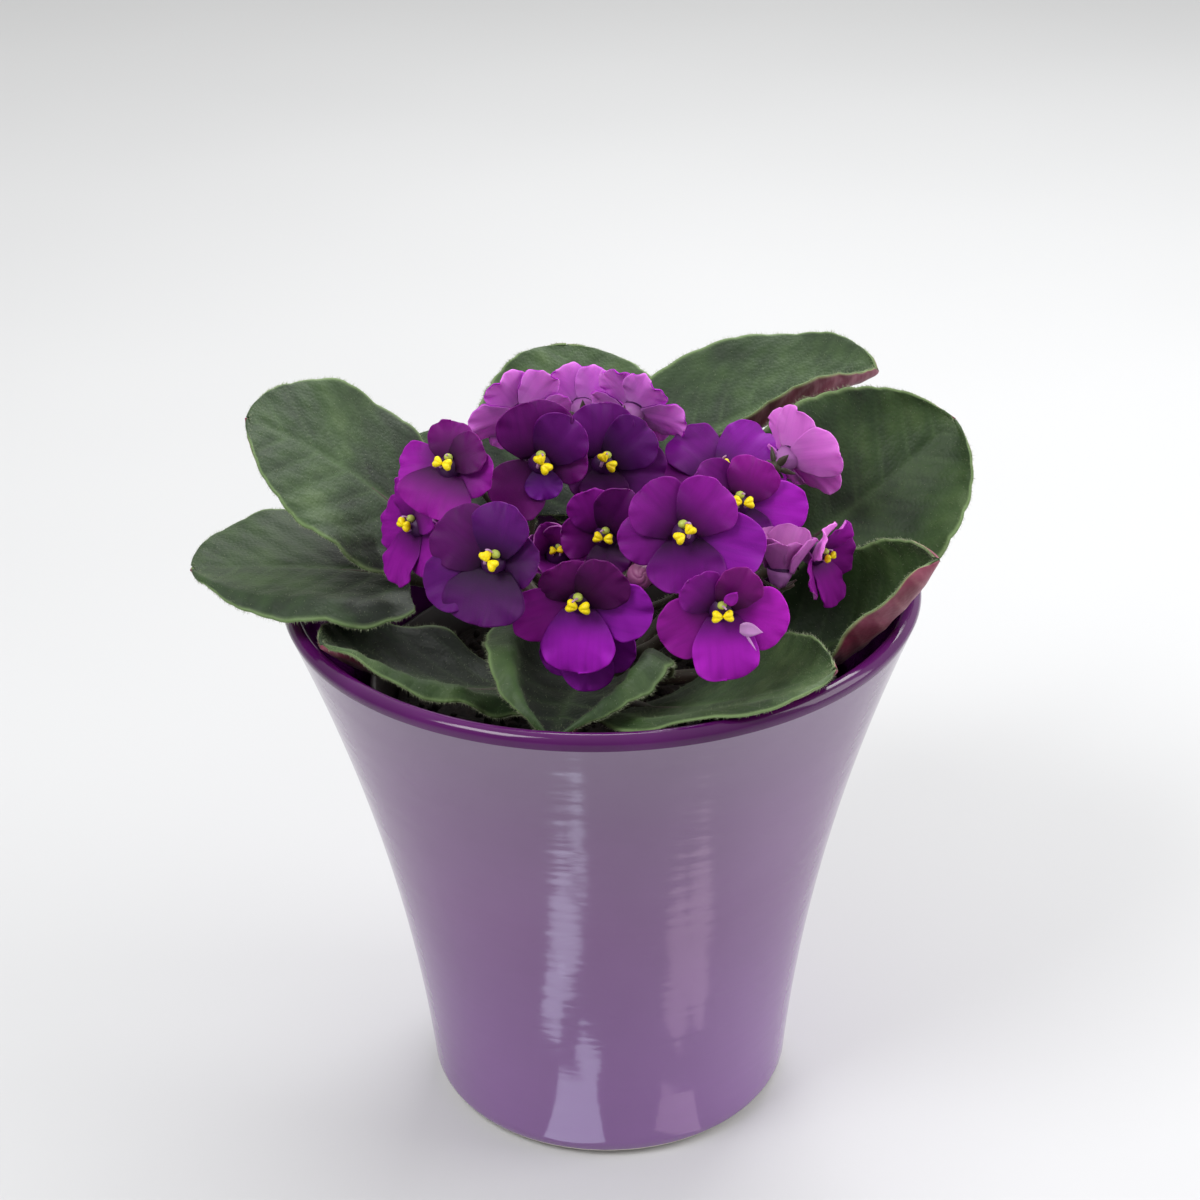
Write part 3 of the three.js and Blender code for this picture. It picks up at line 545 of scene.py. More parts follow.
def soilHeight(x, y, edge):
    share = np.hypot(x, y) / edge
    wavy = 0.9 * np.sin(0.41 * x + 1.3) * np.cos(0.37 * y - 0.4)
    fine = (0.45 * np.sin(1.3 * x + 0.6 * y) * np.cos(1.1 * y - 0.8 * x + 2)
            + 0.25 * np.sin(2.9 * x) * np.cos(3.1 * y))
    return soil["top"] + soil["mound"] * (1 - share ** 2) + wavy + fine


def buildSoil():
    mouth, base, wall = nurseryPot["mouthRadius"], nurseryPot["baseRadius"], nurseryPot["wall"]
    potTop = nurseryPot["foot"] + nurseryPot["height"] - nurseryPot["lip"]
    top = soil["top"]
    inside = [(blend(base, mouth, share) - wall - soil["play"], blend(soil["foot"], potTop, share))
              for share in np.linspace(0.01, 0.985, 12)]
    edge = inside[-1][0]
    rows = [(0, soil["foot"]), *inside, (edge - 0.4, top)]
    rows += [(edge * share, top) for share in np.linspace(0.975, 0.02, 60)]
    rows.append((0, top))
    skin = Skin()
    addTurned(skin, rows, soil["sides"], 0)
    points = skin.points[0]
    onTop = points[:, 2] > top - 0.1
    points[onTop, 2] = soilHeight(points[onTop, 0], points[onTop, 1], edge)
    for number in range(soil["crumbs"]):
        turn, reach = dice.uniform(0, 2 * math.pi), (edge - 2) * math.sqrt(dice.uniform(0.03, 1))
        x, y = reach * math.cos(turn), reach * math.sin(turn)
        size = dice.uniform(*soil["crumbRadius"])
        middle = (x, y, soilHeight(x, y, edge) + size * 0.3)
        addBlob(skin, middle, np.eye(3), size * dice.uniform(0.6, 1.2, 3), 0, 5, 6)
    makePiece("soilPeat", skin, [peat], "potting_soil", "soil")


buildSoil()

# Leaves. foot is the height at which the stalk leaves the crown. heading and rise are the direction and
# the climb at the stalk's start, at the blade's start and at its tip, in degrees. roll turns the blade
# round its rib, fold bends up its halves and hem turns down their margins. tone lightens the skin, a painted
# light set to how brightly each leaf is lit, and shade is painted shade: it darkens the skin towards the
# stalk, along the rib and on the half that the sign of its last value names, where flowers and folds shade
# it.
print("leaves")
leaves = {
    "leaf_left_high": dict(foot=124, stalk=48, length=53, width=54, heading=(-113, -84, -86),
                           rise=(26, 51, 27), roll=-21, fold=(5, 2), hem=(0, 0), tone=-0.01,
                           shade=(0.3, 0, 0)),
    "leaf_left_low": dict(foot=120, stalk=48, length=53, width=55, heading=(-88, -83, -79),
                          rise=(58, 13, 3), roll=-3, fold=(6, 10), hem=(10, 40), tone=-0.04,
                          shade=(0.55, 0, 0)),
    "leaf_back_left": dict(foot=121, stalk=38, length=56, width=55, heading=(-169, -179, -173),
                           rise=(36, 33, 28), roll=9, fold=(12, 2), hem=(0, 0), tone=0.03,
                           shade=(0.75, 0, 0)),
    "leaf_back_right": dict(foot=125.5, stalk=42, length=68, width=50, heading=(181, 128, 88),
                            rise=(68, 25, 11), roll=17, fold=(52, 10), hem=(0, 0), tone=0.0),
    "leaf_right_high": dict(foot=122, stalk=42, length=57, width=60, heading=(93, 110, 103),
                            rise=(38, 26, 43), roll=45, fold=(28, 17), hem=(0, 0), tone=0.01),
    "leaf_right_low": dict(foot=119, stalk=34, length=60, width=44, heading=(50, 89, 47),
                           rise=(18, 12, 66), roll=21, fold=(35, 55), hem=(0, 0), tone=0.08,
                           shade=(0.3, 0, 0)),
    "leaf_front_right": dict(foot=118, stalk=22, length=61, width=52, heading=(8, 32, 83),
                             rise=(8, 22, 28), roll=-1, fold=(21, 17), hem=(30, 0), tone=0.08,
                             shade=(0.25, 0, 0)),
    "leaf_front": dict(foot=122, stalk=15, length=45, width=54, heading=(-5, -15, -8),
                       rise=(40, 17, 2), roll=-7, fold=(56, 55), hem=(98, 97), tone=0.05,
                       shade=(0.35, 0.7, 0)),
    "leaf_front_left": dict(foot=118.5, stalk=21, length=55, width=46, heading=(-45, -67, -59),
                            rise=(10, 13, 43), roll=5, fold=(24, 22), hem=(0, 68), tone=0.05,
                            shade=(0.25, 0, -0.4)),
    "leaf_back_low_left": dict(foot=119.5, stalk=39, length=57, width=51, heading=(-134, -139, -136),
                               rise=(44, 19, -5), roll=-4, fold=(10, 12), hem=(0, 0), tone=0.0,
                               shade=(0.5, 0, 0)),
    "leaf_back_low": dict(foot=118, stalk=39, length=58, width=51, heading=(169, 175, 176),
                          rise=(42, 25, -9), roll=-9, fold=(10, 11), hem=(0, 0), tone=0.02,
                          shade=(0.5, 0, 0)),
    "leaf_back_low_right": dict(foot=118.5, stalk=40, length=54, width=48, heading=(127, 129, 127),
                                rise=(40, 23, -7), roll=-7, fold=(13, 12), hem=(0, 0), tone=-0.02),
}
leafMake = {
    "rows": 97, "columns": 61, "stalkRadius": 1.9, "stalkSides": 14, "stalkRows": 30, "crownRadius": 8,
    "ribThickness": 1.5, "edgeThickness": 0.8, "hemSide": 0.76, "lobe": 0.1, "wave": 0.8,
    "scallop": 0.65, "scallopStep": 6.5, "veinStep": 8.5, "veinSlant": 0.62, "veinWidth": 0.65,
    "ribWidth": 1.2, "ribRows": 26, "ribTip": 0.5, "stalkFlare": (1.35, 1.25, 1.08),
    "quilt": 0.22, "crossFold": 0.1, "crossStep": 5.2, "groove": 0.08, "ribGroove": 0.4,
    # a blade is widest in its middle at 1 and nearer to the stalk below that
    "egg": 0.8,
    # the look of a blade: its painted shade where none is given, and the shares of its rim, veins and the
    # painted sheen on its swellings
    "shade": (0.15, 0, 0), "rimShare": 0.65, "veinShare": 0.55, "swellSheenShare": 0.09,
    "marginHairs": 1000, "marginHairLength": (0.5, 1.3), "marginHairRadius": 0.045,
    "skinHairs": 800, "skinHairLength": (0.3, 0.8), "stalkHairs": 260, "stalkHairLength": (0.5, 1.3),
    "hairRadius": 0.035,
}


# The place and the directions of a rib at distances along its stalk and blade.
def ribFrames(leaf, along):
    knots = [0, leaf["stalk"], leaf["stalk"] + leaf["length"]]

    def directions(distance):
        climb = np.radians(np.interp(distance, knots, leaf["rise"]))[:, None]
        turn = np.interp(distance, knots, leaf["heading"])
        forward = ahead(turn) * np.cos(climb) + np.array([0, 0, 1.0]) * np.sin(climb)
        return forward, aside(turn), np.cross(forward, aside(turn))

    steps = np.arange(knots[2] + 2.0)
    start = ahead(leaf["heading"][0]) * (leafMake["crownRadius"] + 0.3
                                         + leafMake["stalkRadius"] * math.sin(math.radians(leaf["rise"][0])))
    start = start + np.array([0, 0, leaf["foot"]])
    places = np.cumsum(np.vstack([start, directions(steps[:-1])[0]]), axis=0)
    place = np.stack([np.interp(along, steps, places[:, axis]) for axis in range(3)], -1)
    return (place, *directions(along))


# How far out and up the points of a section lie, for shares of the half width. One half of a blade,
# with a fold and a hem for each row.
def halfSection(shares, fold, hem):
    side = leafMake["hemSide"]
    bend = np.radians(fold) * np.minimum(shares, side)
    slope = bend + np.arctan(bend) - np.radians(hem) * smoothStep(shares, 0.68, 0.84)
    speed = np.where(shares < side, np.sqrt(1 + bend ** 2), 1.0)
    steps = np.diff(shares)
    runs = []
    for part in (speed * np.cos(slope), speed * np.sin(slope)):
        summed = np.cumsum((part[:, 1:] + part[:, :-1]) / 2 * steps, axis=1)
        runs.append(np.concatenate([np.zeros((len(fold), 1)), summed], axis=1))
    return runs


def gridNormals(grid):
    return unit(np.cross(np.gradient(grid, axis=0), np.gradient(grid, axis=1)))


# The sheet half way between a blade's two faces. t is a column of shares of its length and s a row of
# shares of its half width, from one margin to the other.
def bladeMiddle(leaf, t, s, rng):
    length, width = leaf["length"], leaf["width"]
    place, forward, side, up = ribFrames(leaf, (leaf["stalk"] + length * t).ravel())
    turn = np.radians(leaf["roll"]) * smoothStep(t, 0, 0.15)
    side, up = side * np.cos(turn) + up * np.sin(turn), up * np.cos(turn) - side * np.sin(turn)
    # an egg's outline, widest before its middle, that starts as wide as the stalk
    drawn = t ** leafMake["egg"]
    half = width * np.sqrt(np.clip(drawn * (1 - drawn), 0, 1))
    half = np.maximum(half, np.where(t < 0.5, leafMake["stalkRadius"] * 1.15, 0.25))
    opened = smoothStep(t, 0, 0.25)
    centre = s.size // 2
    out, high = np.zeros((t.size, s.size)), np.zeros((t.size, s.size))
    for hand, columns, way in ((0, slice(centre, None, -1), -1), (1, slice(centre, None), 1)):
        shares = np.abs(s[:, columns])
        outwards, upwards = halfSection(shares, leaf["fold"][hand] * opened, leaf["hem"][hand] * opened)
        out[:, columns] = way * outwards * half
        high[:, columns] = upwards * half
    # rounded teeth along the margin, unevenly long
    turnAt = np.linspace(0, math.pi, t.size)[:, None]
    sign = np.sign(s)
    teeth = math.pi * math.hypot(length / 2, width / 2) / math.sqrt(2) / leafMake["scallopStep"]
    phase = turnAt / math.pi * teeth + 0.35 * sign + 0.35 * np.sin(2.3 * turnAt + sign)
    tooth = np.abs(np.sin(math.pi * phase)) ** 0.7 - 0.6
    edge = smoothStep(np.abs(s), 0.72, 1)
    out = out + sign * edge * leafMake["scallop"] * tooth * np.sin(turnAt) ** 0.5
    # the margin swings up and down in long waves, and a little in short ones
    swing = np.sin(2 * math.pi * (2.2 * t + 0.2 * sign))
    small = 0.45 * np.sin(turnAt * (9.3 + sign) + rng.uniform(0, 6)) * np.abs(s) ** 5
    high = high + leafMake["wave"] * swing * (s ** 2 * opened) + small * opened
    # both halves reach back a little past the end of the stalk
    lobe = leafMake["lobe"] * length * (1 - t) ** 4 * s ** 2 * smoothStep(t, 0, 0.08)
    middle = (place[:, None] + side[:, None] * out[..., None] + up[:, None] * high[..., None]
              - forward[:, None] * lobe[..., None])
    normals = gridNormals(middle)
    normals = normals * np.sign(normals[t.size // 2, centre] @ up[t.size // 2])
    return middle, normals, out, half


# Quilted tissue swells between side veins that leave the rib every few millimetres. Gives the height of
# the skin, the share of the veins' colour and a painted sheen: how much lighter each swelling is painted.
def bladeRelief(leaf, t, s, half, rng):
    across, sign = np.abs(s) * half, np.sign(s)
    onward = leaf["length"] * t - leafMake["veinSlant"] * across - 0.010 * across ** 2 + 1.1 * sign
    onward = onward + 0.5 * np.sin(0.21 * across + 0.3 * sign + rng.uniform(0, 6))
    beat = onward / leafMake["veinStep"]
    toVein = np.abs(beat - np.round(beat)) * leafMake["veinStep"]
    fade = (1 - smoothStep(np.abs(s), 0.86, 1)) * smoothStep(t, 0.0, 0.1) * (1 - smoothStep(t, 0.93, 1))
    swell = np.sin(math.pi * beat) ** 2 * (1 - np.exp(-(across / 3.0) ** 2))
    cross = np.sin(across * 2 * math.pi / leafMake["crossStep"] + 1.7 * np.sin(onward * 0.37))
    cross = cross * np.sin(math.pi * beat) ** 2
    veinLine = np.exp(-(toVein / leafMake["veinWidth"]) ** 2) * (1 - smoothStep(across, 16, 26))
    ribLine = np.exp(-(across / leafMake["ribWidth"]) ** 2) * (1 - smoothStep(t, 0.8, 1))
    relief = leafMake["quilt"] * swell + leafMake["crossFold"] * cross - leafMake["groove"] * veinLine
    relief = relief * fade - leafMake["ribGroove"] * ribLine * smoothStep(t, 0.02, 0.15)
    veinShare = np.maximum(leafMake["veinShare"] * veinLine * fade * np.exp(-across / 14),
                           ribLine * (1 - 0.75 * smoothStep(t, 0.15, 0.8)))
    return relief, veinShare, leafMake["swellSheenShare"] * (swell - 0.5) * fade


# The stalk, which goes on under the blade as a tapering rib.
def addStalk(skin, leaf):
    length, stalk, rows = leaf["length"], leaf["stalk"], leafMake["stalkRows"]
    along = np.concatenate([np.linspace(-0.1, stalk, rows),
                            stalk + length * np.linspace(0.02, 0.86, leafMake["ribRows"])])
    spine, onwards, sideways, upwards = ribFrames(leaf, np.maximum(along, 0))
    spine[0] = spine[0] - onwards[0] * 1.6
    under = smoothStep(along, stalk - 2, stalk + 8)
    tapered = smoothStep(along, stalk, stalk + 0.9 * length) ** 0.7
    radii = blend(leafMake["stalkRadius"], leafMake["ribTip"], tapered)
    radii[:3] = radii[:3] * leafMake["stalkFlare"]
    tilt = (np.radians(leaf["roll"]) * under)[:, None]
    below = upwards * np.cos(tilt) - sideways * np.sin(tilt)
    spine = spine - below * (under * (0.35 + 0.45 * radii))[:, None]
    rings = addTube(skin, spine, radii, leafMake["stalkSides"], 2)
    return rings[:rows], spine[:rows]


# A fringe of hairs round the margin and a nap on the upper face.
def addBladeHairs(skin, middle, upper, normals, rng):
    rows, columns = middle.shape[:2]
    wanted = leafMake["marginHairs"]
    rowPick = rng.uniform(1, rows - 2, wanted).astype(int)
    end = np.where(rng.random(wanted) < 0.5, 0, columns - 1)
    inner = np.where(end == 0, 1, columns - 2)
    roots = middle[rowPick, end]
    away = unit(roots - middle[rowPick, inner])
    roots = blend(roots, middle[rowPick + 1, end], rng.random((wanted, 1)))
    leaning = away + normals[rowPick, end] * rng.normal(0, 0.55, (wanted, 1))
    leaning = leaning + rng.normal(0, 0.25, (wanted, 3))
    lengths = rng.uniform(*leafMake["marginHairLength"], wanted)
    addHairs(skin, roots, leaning, lengths, leafMake["marginHairRadius"], 3)
    wanted = leafMake["skinHairs"]
    rowPick = rng.uniform(2, rows - 3, wanted).astype(int)
    columnPick = rng.uniform(1, columns - 2, wanted).astype(int)
    roots = blend(upper[rowPick, columnPick], upper[rowPick + 1, columnPick + 1], rng.random((wanted, 1)))
    leaning = normals[rowPick, columnPick] + rng.normal(0, 0.35, (wanted, 3))
    lengths = rng.uniform(*leafMake["skinHairLength"], wanted)
    addHairs(skin, roots, leaning, lengths, leafMake["hairRadius"], 3)


# One leaf: its blade, its stalk and its hairs.
def addLeaf(skin, leaf, rng):
    t = (1 - np.cos(np.linspace(0, math.pi, leafMake["rows"])))[:, None] / 2
    evenly = np.linspace(-1, 1, leafMake["columns"])[None]
    s = 0.5 * evenly + 0.5 * np.sin(evenly * math.pi / 2)
    middle, normals, out, half = bladeMiddle(leaf, t, s, rng)
    relief, veinShare, lighter = bladeRelief(leaf, t, s, half, rng)
    ones = np.ones_like(out)
    rounded = np.sqrt(np.clip(1 - (np.clip(np.abs(s) - 0.955, 0, 1) / 0.05) ** 2, 0.12, 1))
    thick = blend(leafMake["ribThickness"], leafMake["edgeThickness"], np.abs(s)) * rounded * ones
    upper = middle + normals * (thick / 2 + relief)[..., None]
    lower = middle - normals * (thick / 2 - relief * 0.8)[..., None]
    rimShare = leafMake["rimShare"] * smoothStep(np.abs(s), 0.95, 0.995) * ones
    # painted shade: darker towards the stalk, along a deep valley or on a half, where the flowers and folds
    # shade the leaf
    stalkShade, valleyShade, halfShade = leaf.get("shade", leafMake["shade"])
    paintedShade = stalkShade * (1 - smoothStep(t, 0.05, 0.6)) + valleyShade * np.exp(-(s / 0.62) ** 4)
    paintedShade = paintedShade + abs(halfShade) * smoothStep(s * np.sign(halfShade), -0.1, 0.35)
    marks = np.stack([veinShare, rimShare, leaf["tone"] + lighter - paintedShade], -1)
    lies = np.stack([out, leaf["length"] * t * ones, rng.uniform(-500, 500) * ones], -1)
    addSheet(skin, upper, lower, (0, 1, 0), marks, lies)
    rings, spine = addStalk(skin, leaf)
    addBladeHairs(skin, middle, upper, normals, rng)
    furTube(skin, rings, spine, leafMake["stalkHairs"], leafMake["stalkHairLength"], 3, rng)


# Fur on a stem, standing out from the rings that it was made from.
def furTube(skin, rings, centres, wanted, lengths, look, rng):
    ringPick = rng.integers(0, len(rings) - 1, wanted)
    sidePick = rng.integers(0, rings.shape[1], wanted)
    share = rng.random((wanted, 1))
    roots = blend(rings[ringPick, sidePick], rings[ringPick + 1, sidePick], share)
    cores = blend(centres[ringPick], centres[ringPick + 1], share)
    leaning = unit(roots - cores) + rng.normal(0, 0.35, (wanted, 3))
    addHairs(skin, roots, leaning, rng.uniform(*lengths, wanted), leafMake["hairRadius"], look)


def buildLeaves():
    for number, (name, leaf) in enumerate(leaves.items()):
        rng = np.random.default_rng(100 + number)
        skin = Skin()
        addLeaf(skin, leaf, rng)
        makePiece(name.replace("leaf", "leafVelvet"), skin,
                  [leafSkin, leafUnderside, stalkSkin, hairMaterial], "leaves", name)


buildLeaves()

# Blooms. at is the middle of the throat, face the heading and the climb of the way a bloom looks, twist
# its turn round that line, tilt the turn of its anthers, cup how far its petals stand forward and ruffle
# how far their margins swing. hue shifts the colour and tone is painted light and shade: blooms and petals
# turned from the lamps or lying under others are painted darker, the backs of the far blooms lighter.
# petals gives each petal's own turn, length, width, painted tone and hue, curls the small rolled petals
# that stand in the throat, by root, turn, length, width, curl and look. pale lists petals whose face has
# the colour of a back, and in an edged bloom every petal's edge has it.
print("blooms")
blooms = {
    "left": dict(at=(-35, -19, 184.2), face=(-25, 34), twist=8, cup=6, size=0.88,
                 petals=((195, 11.8, 11.5, 1.03, 2), (0, 10.4, 11, 0.77, 4), (268, 11.3, 20, 0.79, 6),
                         (108, 9.4, 12, 0.54, 8), (46, 9, 11, 0.4, 8))),
    "top_left": dict(at=(-14, -12, 182), face=(4, 18), twist=0, tilt=-65, cup=14, size=0.98,
                     petals=((226, 13.5, 15.5, 0.42, 8), (358, 9.5, 11, 0.41, 6), (272, 7.5, 9, 0.81, -14),
                             (100, 14, 18.5, 0.38, 1), (50, 12.3, 14, 0.44, -7))),
    "top": dict(at=(1, 2, 175), face=(6, 24), twist=10, tilt=-40, cup=8, size=0.94,
                petals=((215, 9, 12, 0.3, 0), (357, 14, 14.5, 0.36, -6), (277, 9.5, 12.5, 0.4, -1),
                        (101, 13.6, 15.6, 0.45, -7), (45, 13, 14, 0.38, -10))),
    "far_left": dict(at=(-43, -14, 166.5), face=(-60, 18), twist=0, cup=11, size=0.85, tone=0.85, hue=2),
    "low_left": dict(at=(-24.5, -42, 170.5), face=(-20, 29), twist=20, tilt=-25, cup=10, size=1,
                     petals=((232, 16, 14.5, 0.42, -10), (28, 9.5, 12.5, 0.28, -8),
                             (288, 13.5, 20.5, 0.31, -8), (170, 14.5, 16.5, 0.31, 1),
                             (100, 13, 14, 0.43, -11))),
    "young": dict(at=(-10.5, -14, 158), face=(-4, 41), twist=0, cup=60, size=0.62, tone=0.6, hue=4,
                  edged=True),
    "middle": dict(at=(1.2, -21.5, 167), face=(-8, 14), twist=4, cup=20, size=0.85,
                   petals=((188, 9, 11, 0.53, 5), (350, 9.6, 11, 0.35, -2), (285, 8, 11, 0.28, 1),
                           (116, 11.6, 12, 0.65, 2), (66, 13, 12.5, 0.29, 1))),
    "front_high": dict(at=(19, -39.5, 176), face=(3, 24), twist=2, tilt=40, cup=4, size=1,
                       petals=((186, 13.8, 12.2, 0.61, -1), (346, 18, 15.2, 0.95, -7),
                               (275, 12.4, 18.5, 0.66, -3), (134, 13, 15.2, 0.65, 1),
                               (52, 13, 15, 0.83, 1))),
    "front_low": dict(at=(-5, -43, 161), face=(-6, 4), twist=0, cup=10, size=0.98,
                      petals=((197, 15.2, 13.2, 0.86, 6), (351, 15.8, 14.7, 1.22, -8), (268, 16, 17, 1.7, -6),
                              (120, 9.8, 13.6, 0.38, 11), (45, 12.6, 13.4, 0.27, 10))),
    "front_right": dict(at=(27, -55.5, 165), face=(1, 4), twist=-4, cup=12, size=0.9,
                        petals=((202, 14, 14.4, 0.79, 7), (341, 13.8, 15.6, 1.26, 4),
                                (268, 15.6, 15.4, 1.43, -1), (128, 9.8, 11.5, 0.66, 0),
                                (57, 11.3, 10.8, 0.48, 14)),
                        curls=(((1.2, 2.6, 4.4), 58, 5.2, 3.0, 70, 0),
                               ((3.6, -3.4, 4.6), -8, 5.6, 3.4, 55, 4),
                               ((4.6, -4.6, 4.8), -62, 5.0, 0.5, 25, 4))),
    "right": dict(at=(32.6, -17, 172.6), face=(14, 24), twist=4, cup=8, size=0.92,
                  petals=((203, 9, 11, 0.74, -5), (350, 15.6, 13.4, 1.36, -4), (282, 10, 12.5, 0.66, -5),
                          (142, 12, 13, 0.51, 0), (60, 10.4, 13.7, 0.78, 9))),
    "right_back": dict(at=(46, 3.2, 175), face=(134, 14), twist=30, cup=24, size=0.82, tone=1.35, hue=4,
                       ruffle=0.5, edged=True),
    "right_side": dict(at=(50.4, -22.4, 161.8), face=(58, -2), twist=0, cup=30, size=0.7, pale=(3,),
                       petals=((200, 11, 11, 0.8, 6), (340, 11, 11, 0.7, 4), (270, 12, 12, 0.95, 4),
                               (120, 10.5, 10.5, 1.5, 8), (56, 9.5, 9.8, 1.0, 4))),
    "right_young": dict(at=(42, -31, 161.5), face=(150, 76), twist=0, cup=62, size=0.64, tone=0.72, hue=6,
                        ruffle=0.35, pale=(0, 1, 2, 3, 4)),
    "back_left": dict(at=(-18.5, 14, 183), face=(-158, 22), twist=0, cup=10, size=0.8, tone=1.5, hue=-2,
                      ruffle=0.8),
    "back": dict(at=(-4, 30, 177.5), face=(-178, 18), twist=0, cup=8, size=0.8, tone=1.6, hue=-3,
                 ruffle=0.7),
    "back_right": dict(at=(8.5, 19, 181), face=(151, 28), twist=0, cup=9, size=0.8, tone=1.45, hue=-3,
                       ruffle=0.9),
    "behind": dict(at=(30, 11, 166), face=(2, 60), twist=0, cup=7, size=0.95,
                   petals=((190, 17, 16, 0.62, 2), (346, 15, 14.5, 0.9, -2), (270, 14, 14, 0.5, -4),
                           (130, 15, 15.5, 0.6, -6), (46, 16, 15, 0.85, -8))),
    "under": dict(at=(-3.5, -35.5, 148.3), face=(0, 5), twist=0, cup=33, size=0.72, tone=0.9, hue=-8),
}
# the turn round the bloom, length, width and layer of each petal; the last two are the upper ones
petals = [
    (200, 15.5, 15.5, 0), (340, 15.5, 15.5, 0), (270, 16.5, 16, 1), (124, 13.5, 14, 1), (56, 13.5, 14, 2),
]
bloomMake = {
    "rows": 26, "columns": 19, "root": 1.45, "bow": 12, "wider": 1.09, "claw": 0.45, "widest": 0.57,
    "thickness": 0.6, "edgeThickness": 0.3, "ruffle": 0.75, "crease": 0.3, "notch": 0.5,
    "throatTop": 3.6, "throatDepth": 4, "throatSides": 18,
    # places along a bloom's line of sight, and radii, of the pale tube behind and the dark dome before
    "tube": ((-4.0, 1.7), (-2.6, 2.2), (-1.0, 2.9), (0.4, 3.2)),
    "dome": ((0.2, 3.0), (0.6, 3.1), (1.8, 2.7), (2.9, 1.8), (3.5, 0.8)),
}
antherMake = {
    "radius": 1.5, "apart": 0.98, "long": 0.95, "wide": 0.98, "deep": 0.8, "gap": 0.3, "flare": 0.42,
    "notch": 0.3, "groove": 0.22, "filament": 0.42, "ovary": (1.2, 1.05, 1.3), "style": 0.24,
}


# Where a bloom or a bud stands and the way it looks, with its own up and right.
def bloomFrame(bloom):
    climb = math.radians(bloom["face"][1])
    looks = ahead(bloom["face"][0]) * math.cos(climb) + np.array([0, 0, math.sin(climb)])
    upright = unit(np.array([0, 0, 1.0]) - looks * looks[2])
    turn = math.radians(bloom.get("twist", 0))
    up = upright * math.cos(turn) + np.cross(upright, looks) * math.sin(turn)
    return {"at": np.array(bloom["at"], float), "looks": looks, "up": up, "right": np.cross(up, looks)}


def inFrame(spot, points):
    return (spot["at"] + points[..., :1] * spot["right"] + points[..., 1:2] * spot["up"]
            + points[..., 2:] * spot["looks"])


# How far from the middle of the throat a petal starts: further out the more the bloom is cupped.
def petalRoot(bloom):
    return bloomMake["root"] + 2 * math.sin(math.radians(bloom["cup"]))


# The sheet half way between a petal's two faces, laid out from its root along a bowed line, with a rounded
# outer margin that ruffles. t is a column of shares of its length and s a row of shares of its half width.
def petalMiddle(spot, bloom, shape, t, s, rng):
    angle, length, width, layer = shape
    cup, size = math.radians(bloom["cup"]), bloom["size"]
    outward = spot["right"] * math.cos(angle) + spot["up"] * math.sin(angle)
    side = np.cross(spot["looks"], outward)
    fine = np.linspace(0, 1, 41)
    bow = math.radians(bloomMake["bow"])
    climb = blend(cup + bow, cup - bow, fine)
    forwards = outward * np.cos(climb)[:, None] + spot["looks"] * np.sin(climb)[:, None]
    line = np.vstack([np.zeros(3), np.cumsum(forwards[:-1] + forwards[1:], axis=0) / 2 * length / 40])
    root = petalRoot(bloom)
    inward = spot["looks"] * math.cos(cup) - outward * math.sin(cup)
    start = spot["at"] + outward * root + inward * layer
    place = start + np.stack([np.interp(t, fine, line[:, axis]) for axis in range(3)], -1)
    climb = np.interp(t, fine, climb)
    top = spot["looks"] * np.cos(climb) - outward * np.sin(climb)
    widest, claw = bloomMake["widest"], bloomMake["claw"]
    outline = np.where(t < widest, claw + (1 - claw) * np.sin(np.clip(t / widest, 0, 1) * math.pi / 2),
                       np.sqrt(np.clip(1 - ((t - widest) / (1 - widest)) ** 2, 0.0004, 1)))
    # the two halves are a little unlike
    uneven = [0.03 * np.sin(blend(4, 11, rng.random()) * t + rng.uniform(0, 6)) * smoothStep(t, 0.2, 0.6)
              for hand in ("left", "right")]
    half = width / 2 * outline
    hollow = 0.03 + 0.4 * math.sin(cup) ** 2
    out = half * s * (1 + np.where(s < 0, *uneven))
    # the margin ruffles, most at the outer corners, and the middle has a shallow crease
    edge = np.maximum(np.abs(s) ** 3 * np.sin(t * math.pi * 0.5), t ** 5)
    theta = np.arctan2(out, (t - 0.45) * length)
    ruffle = (np.sin(3 * theta + rng.uniform(0, 6)) + 0.6 * np.sin(7 * theta + rng.uniform(0, 6))
              + 0.35 * np.sin(13 * theta + rng.uniform(0, 6)))
    swing = bloom.get("ruffle", bloomMake["ruffle"]) * size
    lift = hollow * half * s ** 2 + swing * edge * ruffle
    crease = bloomMake["crease"] * size * np.exp(-(out / 1.1) ** 2)
    lift = lift - crease * smoothStep(t, 0.1, 0.5) + rng.uniform(-0.5, 0.5) * s * t
    notch = rng.uniform(0.0, bloomMake["notch"]) * size * np.exp(-(out / 1.6) ** 2)
    notch = notch * smoothStep(t, 0.8, 1)
    forward = outward * np.cos(climb) + spot["looks"] * np.sin(climb)
    middle = (place + side * out[..., None] + top[:, None] * lift[..., None]
              - forward[:, None] * notch[..., None])
    normals = gridNormals(middle)
    normals = normals * np.sign(normals[t.size // 2, s.size // 2] @ top[t.size // 2])
    return middle, normals, out


